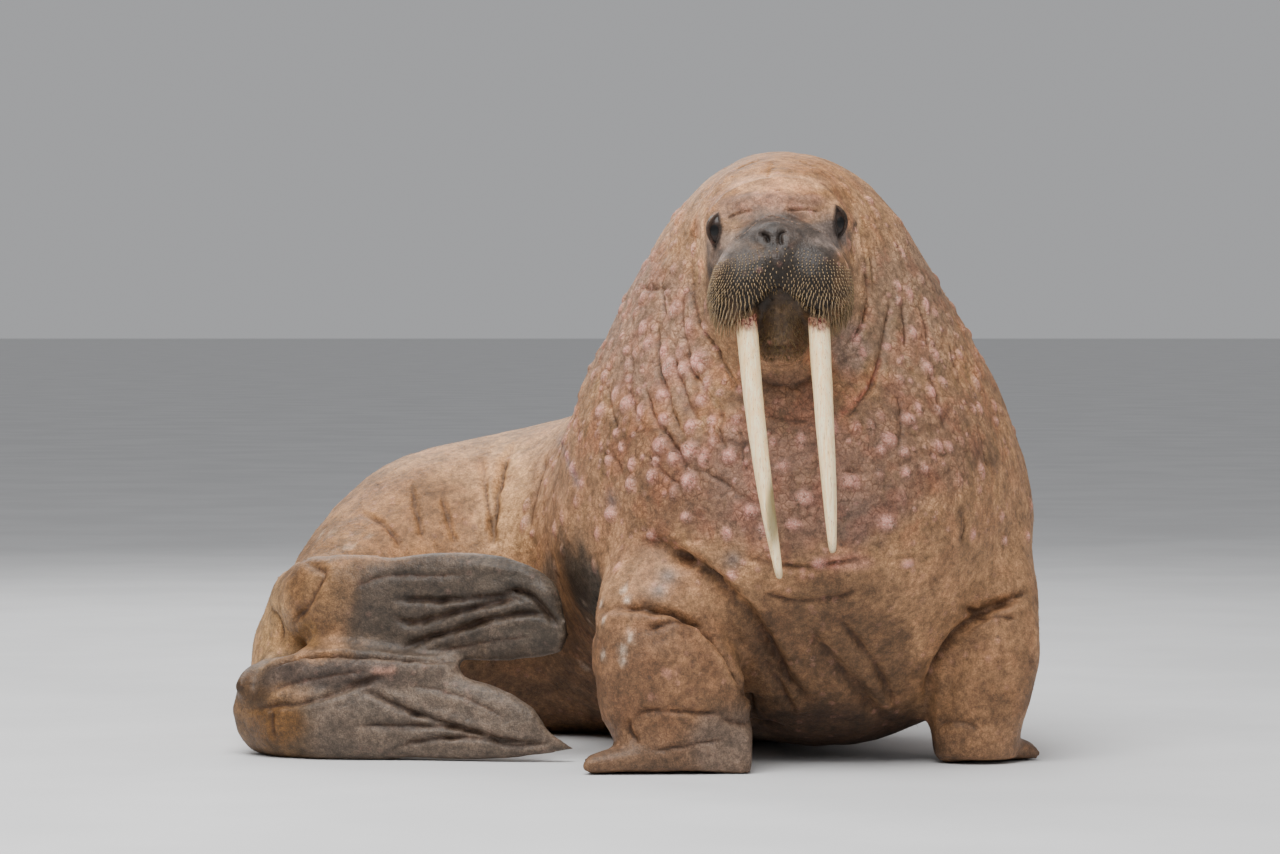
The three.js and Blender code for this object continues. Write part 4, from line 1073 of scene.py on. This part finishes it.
# Knobs, cracks, wrinkles, dark flecks and hairs
any_knob = math_of(tree, "MAXIMUM", knob_node, product(tree, small_knob, 0.7))
knob_tone = blend(tree, ramp(tree, patch, 0.4, 0.62), ink(KNOB_INKS[0]), ink(KNOB_INKS[1]))
tone = blend(tree, product(tree, any_knob, ramp(tree, mottle, 0.30, 0.52), 0.92), tone, knob_tone)
tone = blend(tree, product(tree, any_knob, ramp(tree, speck, 0.50, 0.62), 0.5), tone, ink(KNOB_TOP_INK))
crack = math_of(tree, "MAXIMUM", rough_hide, product(tree, leather_node, 0.7))
crack = product(tree, worn["Crack"], crack, ramp(tree, patch, 0.42, 0.6))
tone = washed(tree, product(tree, crack, 0.7), tone, CRACK_WASH)
tone = washed(tree, product(tree, fine["Crack"], 0.38), tone, FINE_CRACK_WASH)
wrinkle = product(tree, ramp(tree, rings, 0.30, 0.05), rough_hide, ramp(tree, broad, 0.45, 0.6))
tone = washed(tree, product(tree, wrinkle, 0.5), tone, WRINKLE_WASH)
fleck = add(tree, "TexVoronoi", {"Vector": here, "Scale": 24.0}).outputs
fleck_here = ramp(tree, parts_of(tree, fleck["Color"])[1], 0.86, 0.88)
fleck_here = product(tree, fleck_here, ramp(tree, fleck["Distance"], 0.12, 0.06))
tone = blend(tree, product(tree, fleck_here, 0.6), tone, ink(FLECK_INK))
tone = scaled(tree, tone, ramp(tree, hair, 0.30, 0.70, 0.90, 1.09))
height = product(tree, small_knob, 2.8)
for value, share in (
    (product(tree, worn["Swell"], rough_hide), 1.0), (fine["Swell"], 0.30), (patch, 3.0), (mottle, 1.6),
    (speck, 0.5), (product(tree, rings, rough_hide), 1.0), (hair, 0.22), (furrow_dirt_and_shade_node, -0.6),
):
    height = math_of(tree, "ADD", height, product(tree, value, share))
rough = ramp(tree, speck, 0.3, 0.7, 0.56, 0.72)
rough = math_of(tree, "SUBTRACT", rough, product(tree, leather_node, 0.14))
tree.links.new(tone, face.inputs["Base Color"])
tree.links.new(rough, face.inputs["Roughness"])
tree.links.new(bumped(tree, height), face.inputs["Normal"])

hide.data.materials.append(hide_look)
for name in FLESH:
    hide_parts(name)
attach(hide, "root")
select_only(hide)
bpy.ops.object.shade_smooth()

# Eyes: two bulging, wet balls, nearly black-brown and a little taller than wide, each with a brown iris and
# a dark pupil where it looks. They sit behind the skin of the lids.
IRIS_INK = (46, 33, 27)
PUPIL_INK = (10, 9, 9)
WHITE_INK = (30, 23, 20)
PUPIL_EDGE, IRIS_EDGE = 0.34, 0.72  # radians from the middle of the gaze

eye_look, tree, face = material_of("wet_eye", 0.42, 0.2)
face.inputs["Coat Weight"].default_value = 0.16
face.inputs["Coat Roughness"].default_value = 0.08
gaze_node = point_value(tree, "gaze")["Fac"]
veins = noise_of(tree, here_of(tree), 420.0, 3.0, 0.6)
tone = blend(tree, ramp(tree, veins, 0.35, 0.65), ink(IRIS_INK), ink(IRIS_INK, 0.45))
tone = blend(tree, ramp(tree, gaze_node, IRIS_EDGE - 0.06, IRIS_EDGE), tone, ink(IRIS_INK, 0.25))
tone = blend(tree, ramp(tree, gaze_node, IRIS_EDGE + 0.02, IRIS_EDGE + 0.12), tone, ink(WHITE_INK))
tone = blend(tree, ramp(tree, gaze_node, PUPIL_EDGE + 0.03, PUPIL_EDGE - 0.03), tone, ink(PUPIL_INK))
tree.links.new(tone, face.inputs["Base Color"])

for name in EYES:
    bpy.ops.mesh.primitive_uv_sphere_add(segments=48, ring_count=32, radius=1, location=(0, 0, 0))
    eye = bpy.context.object
    eye.name = "ball_" + name
    unit = places(eye) + np.array(MIDDLE)
    half = (EYE_RADIUS, EYE_RADIUS * EYE_TALL, EYE_RADIUS)
    put(eye, unit * half @ eye_axes(name) + np.array(eye_at[name]))
    give(eye, "gaze", np.arccos(np.clip(unit[:, 2], -1, 1)), "FLOAT")
    bpy.ops.object.shade_smooth()
    eye.data.materials.append(eye_look)
    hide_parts(name)
    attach(eye, "root")

# Tusks: two long canine teeth of ivory, growing out of the upper jaw, worn and split lengthwise, stained
# where the skin rubs on them and bloodshot where they leave the gum.
TUSKS = ("tusk_right", "tusk_left")
GROOVE, GROOVE_WIDTH = 0.0006, 0.007
GROOVE_WAY = (1, 1, 0.05)  # grooves run lengthwise
TUSK_SWELL = 0.0012  # makes up for what the smoothing takes off
GUM_FROM, GUM_TO = 0.852, 0.868  # heights between which the ivory turns into gum
GUM_WAVER = 0.012  # by which that edge goes up and down, and in lumps of what size
TIP = 0.03  # the length of the worn tip
STAIN_AT, STAIN_HALF = (773, 512), (7, 38)  # picture points, on the right tusk
IVORY_INK, PALE_IVORY_INK, YELLOW_INK = (250, 214, 164), (255, 236, 198), (236, 196, 144)
SPLIT_INK, STAIN_INK, TIP_INK = (120, 84, 52), (112, 100, 66), (120, 84, 56)
GUM_INK, BLOOD_INK = (198, 150, 128), (92, 34, 28)
STREAK_WAY = (1.0, 1.0, 0.035)

tusk_look, tree, face = material_of("ivory", 0.38, 0.45)
here = here_of(tree)
stain_node, gum_node, tip_node = parts_of(tree, point_value(tree, "soil")["Color"])
along = stretched(tree, here, STREAK_WAY)
streak = noise_of(tree, along, 240.0, 4.0, 0.6)
thin_streak = noise_of(tree, along, 900.0, 2.0)
cloud = noise_of(tree, here, 45.0, 3.0)
blotch = noise_of(tree, here, 170.0, 3.0, 0.65)
tone = blend(tree, ramp(tree, streak, 0.35, 0.65), ink(IVORY_INK, 1.05), ink(PALE_IVORY_INK, 1.12))
tone = blend(tree, product(tree, ramp(tree, cloud, 0.5, 0.7), 0.35), tone, ink(YELLOW_INK))
tone = blend(tree, product(tree, ramp(tree, thin_streak, 0.60, 0.68), 0.75), tone, ink(SPLIT_INK))
tone = blend(tree, product(tree, stain_node, 0.85), tone, ink(STAIN_INK))
gum = blend(tree, ramp(tree, blotch, 0.42, 0.58), ink(GUM_INK), ink(BLOOD_INK))
tone = blend(tree, gum_node, tone, gum)
tone = blend(tree, product(tree, tip_node, 0.5), tone, ink(TIP_INK))
tree.links.new(tone, face.inputs["Base Color"])
height = math_of(tree, "ADD", product(tree, streak, 0.8), product(tree, thin_streak, -0.5))
tree.links.new(bumped(tree, height), face.inputs["Normal"])

for name in TUSKS:
    tusk = copy_of(name, "ivory_" + name)
    select_only(tusk)
    bpy.ops.object.mode_set(mode="EDIT")
    bpy.ops.mesh.select_all(action="SELECT")
    bpy.ops.mesh.remove_doubles(threshold=WELD)
    bpy.ops.mesh.subdivide(number_cuts=2)
    bpy.ops.mesh.vertices_smooth(factor=0.5, repeat=5)
    bpy.ops.transform.shrink_fatten(value=TUSK_SWELL)
    bpy.ops.mesh.subdivide(number_cuts=1)
    bpy.ops.mesh.vertices_smooth(factor=0.5, repeat=1)
    bpy.ops.object.mode_set(mode="OBJECT")
    at = places(tusk)
    lie = outward(tusk)
    put(tusk, at + lie * (GROOVE * drift(at * GROOVE_WAY, GROOVE_WIDTH, 31))[:, None])
    px, py = seen_at(at)
    reach = np.hypot((px - STAIN_AT[0]) / STAIN_HALF[0], (py - STAIN_AT[1]) / STAIN_HALF[1])
    stain = (1 - smooth(reach, 0.5, 1.3)) * (name == "tusk_right")
    gum_share = smooth(at[:, 2] + GUM_WAVER * drift(at, GUM_WAVER, 33), GUM_FROM, GUM_TO)
    tip = 1 - smooth(at[:, 2] - at[:, 2].min(), 0, TIP)
    give(tusk, "soil", np.stack([stain, gum_share, tip], 1))
    select_only(tusk)
    bpy.ops.object.shade_smooth()
    tusk.data.materials.clear()
    tusk.data.materials.append(tusk_look)
    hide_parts(name)
    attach(tusk, "root")

# Bristles: about five hundred stiff, hollow hairs in rows on each pad of the upper lip, a mere stubble at
# the top and as long as a finger at the lower corners, where they bend in under the lip.
ROW_GAP, BRISTLE_GAP = 0.0066, 0.0068
ROWS = (-1.15, 1.0)  # radians up from the pad's middle, from and to
TURNS = (-1.3, 1.9)  # radians outwards from straight ahead, from and to
TURN_JITTER, RISE_JITTER = 0.012, 0.008
BRISTLE_ROOT = 0.0012
BRISTLE_LENGTH = (0.005, 0.044)
BRISTLE_TOP = (779, 247, 0.0042)  # picture points: middle and height of the upper edge, and how it falls
BRISTLE_LOW = 332
PAD_SEEN = 72  # picture points from the middle of the lip to the outer edge of a pad
MOUTH_SEEN = (781, 290, 26, 0.25)  # picture points: middle, height, half width there, and how it widens
MOUTH_ARC = (778, 292, 0.016)  # picture points: middle and height of its upper edge, and how it falls
STRAW, STRAW_ROOT = (140, 118, 88), (66, 52, 38)
BRISTLE_SEED = 11
PATCH = 0.003  # of each hair on the unwrap of the skin


def unwrapped(o):
    """A lighter copy of the skin, unwrapped; patches finds the nearest of its faces with a tree."""
    flat = o.copy()
    flat.data = o.data.copy()
    bpy.context.scene.collection.objects.link(flat)
    flat.modifiers.new("fewer", "DECIMATE").ratio = 0.08
    apply_modifiers(flat)
    bpy.ops.object.mode_set(mode="EDIT")
    bpy.ops.mesh.select_all(action="SELECT")
    bpy.ops.uv.smart_project(angle_limit=math.radians(66), island_margin=0.004)
    bpy.ops.object.mode_set(mode="OBJECT")
    return flat


def patches(flat, roots):
    """Where roots lie on the unwrap."""
    mesh = flat.data
    layer = mesh.uv_layers.active.data
    tree = skin_of(flat)
    found = []
    for root in roots:
        spot, _, index, _ = tree.find_nearest(Vector(root) + MIDDLE)
        corners = list(mesh.polygons[index].loop_indices)[:3]
        solid = [mesh.vertices[mesh.loops[c].vertex_index].co for c in corners]
        found.append(barycentric_transform(spot, *solid, *[layer[c].uv.to_3d() for c in corners])[:2])
    return np.array(found)


BEND = 0.8  # how far a hair has turned at its tip
ROOT_DEPTH = 0.0015  # in the skin
TAPER = 0.86  # of its thickness that a hair loses


def hairs(name, roots, outs, leans, lengths, radii, sides, joints, flatness=1.0):
    """One mesh of tapered hairs that leave the skin along `outs` and bend towards `leans`."""
    count = len(roots)
    along = np.linspace(0, 1, joints)
    turn = np.linspace(0, 2 * math.pi, sides, endpoint=False)
    way = outs[:, None] * (1 - BEND * along[:, None]) + leans[:, None] * (BEND * along[:, None] + 0.15)
    way /= np.linalg.norm(way, axis=2, keepdims=True)
    step = way * (lengths / (joints - 1))[:, None, None]
    line = roots[:, None] - outs[:, None] * ROOT_DEPTH + np.cumsum(step, 1) - step[:, :1]
    across = np.cross(way, outs[:, None] + 0.01)
    across /= np.maximum(np.linalg.norm(across, axis=2, keepdims=True), 1e-6)
    high = np.cross(across, way)
    thick = radii[:, None] * (1 - along ** 2 * TAPER)
    ring = (
        across[:, :, None] * np.cos(turn)[:, None] + high[:, :, None] * np.sin(turn)[:, None] * flatness
    ) * thick[:, :, None, None] + line[:, :, None]
    points = ring.reshape(-1, 3)
    first = np.arange(count)[:, None, None] * joints * sides
    j, k = np.arange(joints - 1)[:, None] * sides, np.arange(sides)
    k_next = (k + 1) % sides
    square = (j + k, j + k_next, j + sides + k_next, j + sides + k)
    walls = np.stack([first + part for part in square], 3)
    ends = np.arange(count)[:, None] * joints * sides
    faces = walls.reshape(-1, 4).tolist()
    faces += (ends + k[::-1]).tolist() + (ends + (joints - 1) * sides + k).tolist()
    mesh = bpy.data.meshes.new(name)
    mesh.from_pydata((points + np.array(MIDDLE)).tolist(), [], faces)
    made = bpy.data.objects.new(name, mesh)
    bpy.context.scene.collection.objects.link(made)
    corner = np.empty(len(mesh.loops), int)
    mesh.loops.foreach_get("vertex_index", corner)
    own, on = corner // (joints * sides), corner % (joints * sides)
    spread = np.stack([(on % sides) / sides, on // sides / (joints - 1)], 1) * PATCH
    spot = patches(flat_skin, roots)[own] + spread
    mesh.uv_layers.new(name="OFBake").data.foreach_set("uv", spot.astype(np.float32).ravel())
    up_hair = np.tile(np.repeat(along, sides), count)
    chance = np.repeat(rng.random(count), joints * sides)
    give(made, "strand", np.stack([up_hair, chance, np.zeros(len(points))], 1))
    select_only(made)
    bpy.ops.object.shade_smooth()
    return made


flat_skin = unwrapped(hide)
skin = skin_of(hide)
rng = np.random.default_rng(BRISTLE_SEED)
roots, outs = [], []
for name, middle in PAD_AT.items():
    side = 1 if name == "muzzle_left" else -1
    for row, tilt in enumerate(np.arange(*ROWS, ROW_GAP / PAD_HALF[2])):
        gap = BRISTLE_GAP / (PAD_HALF[0] * math.cos(tilt))
        for turn in np.arange(TURNS[0] + gap * (row % 2) / 2, TURNS[1], gap):
            turn, rise = turn + rng.normal(0, TURN_JITTER), tilt + rng.normal(0, RISE_JITTER)
            level = math.cos(rise)
            away = Vector((side * math.sin(turn) * level, -math.cos(turn) * level, math.sin(rise)))
            spot, out, _, _ = skin.ray_cast(MIDDLE + Vector(middle) + away * 0.25, -away)
            if spot and out.dot(away) > 0.25 and (spot.x - MIDDLE.x - 0.002) * side > 0:
                roots.append(np.array(spot - MIDDLE))
                outs.append(np.array(out))
roots, outs = np.array(roots), np.array(outs)
px, py = seen_at(roots)
top = BRISTLE_TOP[1] + BRISTLE_TOP[2] * (px - BRISTLE_TOP[0]) ** 2
share = (py - top) / (BRISTLE_LOW - top)
mouth_x, mouth_y, mouth_half, mouth_slope = MOUTH_SEEN
in_mouth = np.abs(px - mouth_x) < mouth_half + (py - mouth_y) * mouth_slope
in_mouth &= py > MOUTH_ARC[1] + MOUTH_ARC[2] * (px - MOUTH_ARC[0]) ** 2
keep = (share > 0) & (share < 1.08) & (roots[:, 1] < 0.03) & ~in_mouth
roots, outs, share, px = roots[keep], outs[keep], np.clip(share[keep], 0, 1), px[keep]
wide = np.abs(px - BRISTLE_TOP[0]) / PAD_SEEN
lengths = BRISTLE_LENGTH[0] + (BRISTLE_LENGTH[1] - BRISTLE_LENGTH[0]) * share ** 2 * (0.35 + 0.75 * wide)
lengths *= rng.uniform(0.8, 1.15, len(roots))
count = len(roots)
inwards = -0.30 * np.sign(roots[:, 0]) * wide * share
lean = np.stack([inwards, np.full(count, -0.25), np.full(count, -1.0)], 1)
radii = BRISTLE_ROOT * rng.uniform(0.8, 1.1, count)
bristles = hairs("bristles", roots, outs, lean, lengths, radii, 6, 6)


def hair_material(name, root_ink, tip_ink, dark):
    look, tree, face = material_of(name, 0.42, 0.5)
    up_hair, chance, _ = parts_of(tree, point_value(tree, "strand")["Color"])
    tone = blend(tree, ramp(tree, up_hair, 0.0, 0.45), ink(root_ink), ink(tip_ink))
    tone = blend(tree, product(tree, ramp(tree, chance, 0.4, 0.9), dark), tone, ink(root_ink))
    grain = noise_of(tree, here_of(tree), 380.0, 3.0)
    tone = scaled(tree, tone, ramp(tree, grain, 0.3, 0.7, 0.8, 1.15))
    tree.links.new(tone, face.inputs["Base Color"])
    return look


bristles.data.materials.append(hair_material("bristle_straw", STRAW_ROOT, STRAW, 0.55))
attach(bristles, "root")

# Chin hair: short, coarse and yellowish hair on the lower lip, between the tusks. Each one is rooted in the
# skin and bends down.
CHIN_HAIRS = 650
CHIN_MIDDLE = (0.012, 0.01, 0.855)
CHIN_HEIGHT = (0.80, 0.925)  # from and to
CHIN_HALF = 0.05  # half its width
CHIN_STRAW, CHIN_STRAW_ROOT = (112, 92, 58), (50, 38, 26)
CHIN_LENGTH = (0.006, 0.013)
CHIN_RADIUS = (0.0003, 0.0005)

roots, outs = [], []
while len(roots) < CHIN_HAIRS:
    away = Vector((rng.normal(0, 0.75), -1.0, rng.normal(-0.1, 0.8))).normalized()
    spot, out, _, _ = skin.ray_cast(MIDDLE + Vector(CHIN_MIDDLE) + away * 0.30, -away)
    if not spot or not CHIN_HEIGHT[0] < spot.z < CHIN_HEIGHT[1]:
        continue
    if abs(spot.x - MIDDLE.x - CHIN_MIDDLE[0]) < CHIN_HALF and out.y < -0.1:
        roots.append(np.array(spot - MIDDLE))
        outs.append(np.array(out))
roots, outs = np.array(roots), np.array(outs)
count = len(roots)
lean = np.stack([roots[:, 0] * 2, np.full(count, -0.2), np.full(count, -1.0)], 1)
lengths = rng.uniform(*CHIN_LENGTH, count)
chin_hair = hairs("chin_hair", roots, outs, lean, lengths, rng.uniform(*CHIN_RADIUS, count), 4, 4)
chin_hair.data.materials.append(hair_material("chin_straw", CHIN_STRAW_ROOT, CHIN_STRAW, 0.7))
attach(chin_hair, "root")

# Coat: thin, short hair that lies back flat from the face, seen mostly at the animal's outline. It is
# rooted in the hide, and there is none on the flippers, the lids and the middle of the face.
COAT_HAIRS = 12000
COAT_LENGTH = (0.005, 0.009)
COAT_RADIUS, FACE_HAIR_RADIUS = 0.0005, 0.0003
COAT_SIDES, COAT_JOINTS, COAT_FLATNESS = 3, 3, 0.6
COAT_LOW = 0.05  # height below which there is none
BARE_FACE_BOX = ((-0.17, -0.2, 0.84), (0.18, 0.06, 1.06))
FACE_HAIR_BOX = ((-0.2, -0.2, 0.78), (0.2, 0.12, 1.21))  # where it is shorter and thinner
at = places(hide)
lie = outward(hide)
mesh = hide.data
area = np.empty(len(mesh.polygons))
mesh.polygons.foreach_get("area", area)
middle = np.empty(len(mesh.polygons) * 3)
mesh.polygons.foreach_get("center", middle)
middle = middle.reshape(-1, 3) - np.array(MIDDLE)
bare = flippers_of(middle) | lidded(middle) | within(middle, *BARE_FACE_BOX)
weight = area * ~bare * (middle[:, 2] > COAT_LOW)
picked = rng.choice(len(middle), COAT_HAIRS, p=weight / weight.sum())
seats = KDTree(len(at))
for n, p in enumerate(at):
    seats.insert(p, n)
seats.balance()
roots, outs, nearest = [], [], []
for n in picked:
    away = rng.normal(0, 0.3 * math.sqrt(area[n]), 3)
    spot, out, _, _ = skin.find_nearest(MIDDLE + Vector(middle[n] + away))
    roots.append(np.array(spot - MIDDLE))
    outs.append(np.array(out))
    nearest.append(seats.find(roots[-1])[1])
roots, outs = np.array(roots), np.array(outs)
back = roots - np.array(HEAD_MIDDLE) + (0, 0, -0.25)
lean = back / np.linalg.norm(back, axis=1, keepdims=True) + rng.normal(0, 0.25, back.shape)
lean -= outs * ((lean * outs).sum(1) - 0.22)[:, None]
lean /= np.linalg.norm(lean, axis=1, keepdims=True)
face_hair = within(roots, *FACE_HAIR_BOX)
lengths = rng.uniform(*COAT_LENGTH, len(roots)) * np.where(face_hair, 0.5, 1)
radii = np.where(face_hair, FACE_HAIR_RADIUS, COAT_RADIUS)
outs = lean * 0.7 + outs * 0.3
coat = hairs("coat", roots, outs, lean, lengths, radii, COAT_SIDES, COAT_JOINTS, COAT_FLATNESS)
# The coat hairs take the tint under their roots, painted shade included
give(coat, "tint", np.repeat(tint[nearest], COAT_SIDES * COAT_JOINTS, 0))
coat_look, tree, face = material_of("coat_hair", 0.55, 0.4)
up_hair, chance, _ = parts_of(tree, point_value(tree, "strand")["Color"])
tone = point_value(tree, "tint")["Color"]
tone = scaled(tree, tone, ramp(tree, up_hair, 0.0, 1.0, 0.85, 1.3))
tone = scaled(tree, tone, ramp(tree, chance, 0.0, 1.0, 0.75, 1.15))
tree.links.new(tone, face.inputs["Base Color"])
coat.data.materials.append(coat_look)
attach(coat, "root")
bpy.data.objects.remove(flat_skin)

# Studio: a pale floor under a grey sky, with one large soft light high in front, a weak one from the side
# and one from behind.
FLOOR_SIZE = 600
LAMPS = {  # place, power in watts, size across
    "key": ((-1.0, -2.8, 5.2), 560, 4.2),
    "side": ((4.5, -4.0, 2.6), 40, 3.0),
    "rim": ((-1.5, 4.5, 4.5), 220, 4.0),
}
AIM = Vector((-0.1, 0.4, 0.6))
SKY, SKY_STRENGTH = (0.96, 0.97, 1.0, 1), 0.42

bpy.ops.mesh.primitive_plane_add(size=FLOOR_SIZE, location=(0, 0, 0))
floor = bpy.context.object
floor.name = "floor"
floor_look, tree, face = material_of("floor", 0.85)
floor_tone = ramp(tree, noise_of(tree, here_of(tree), 1.5), 0.3, 0.7, 0.62, 0.68)
tree.links.new(floor_tone, face.inputs["Base Color"])
floor.data.materials.append(floor_look)
for name, (place, power, size) in LAMPS.items():
    bpy.ops.object.light_add(type="AREA", location=place)
    lamp = bpy.context.object
    lamp.name = name
    lamp.data.energy = power
    lamp.data.size = size
    lamp.rotation_euler = (AIM - Vector(place)).to_track_quat("-Z", "Y").to_euler()
world = bpy.data.worlds.new("sky")
bpy.context.scene.world = world
world.use_nodes = True
world.node_tree.nodes["Background"].inputs["Color"].default_value = SKY
world.node_tree.nodes["Background"].inputs["Strength"].default_value = SKY_STRENGTH
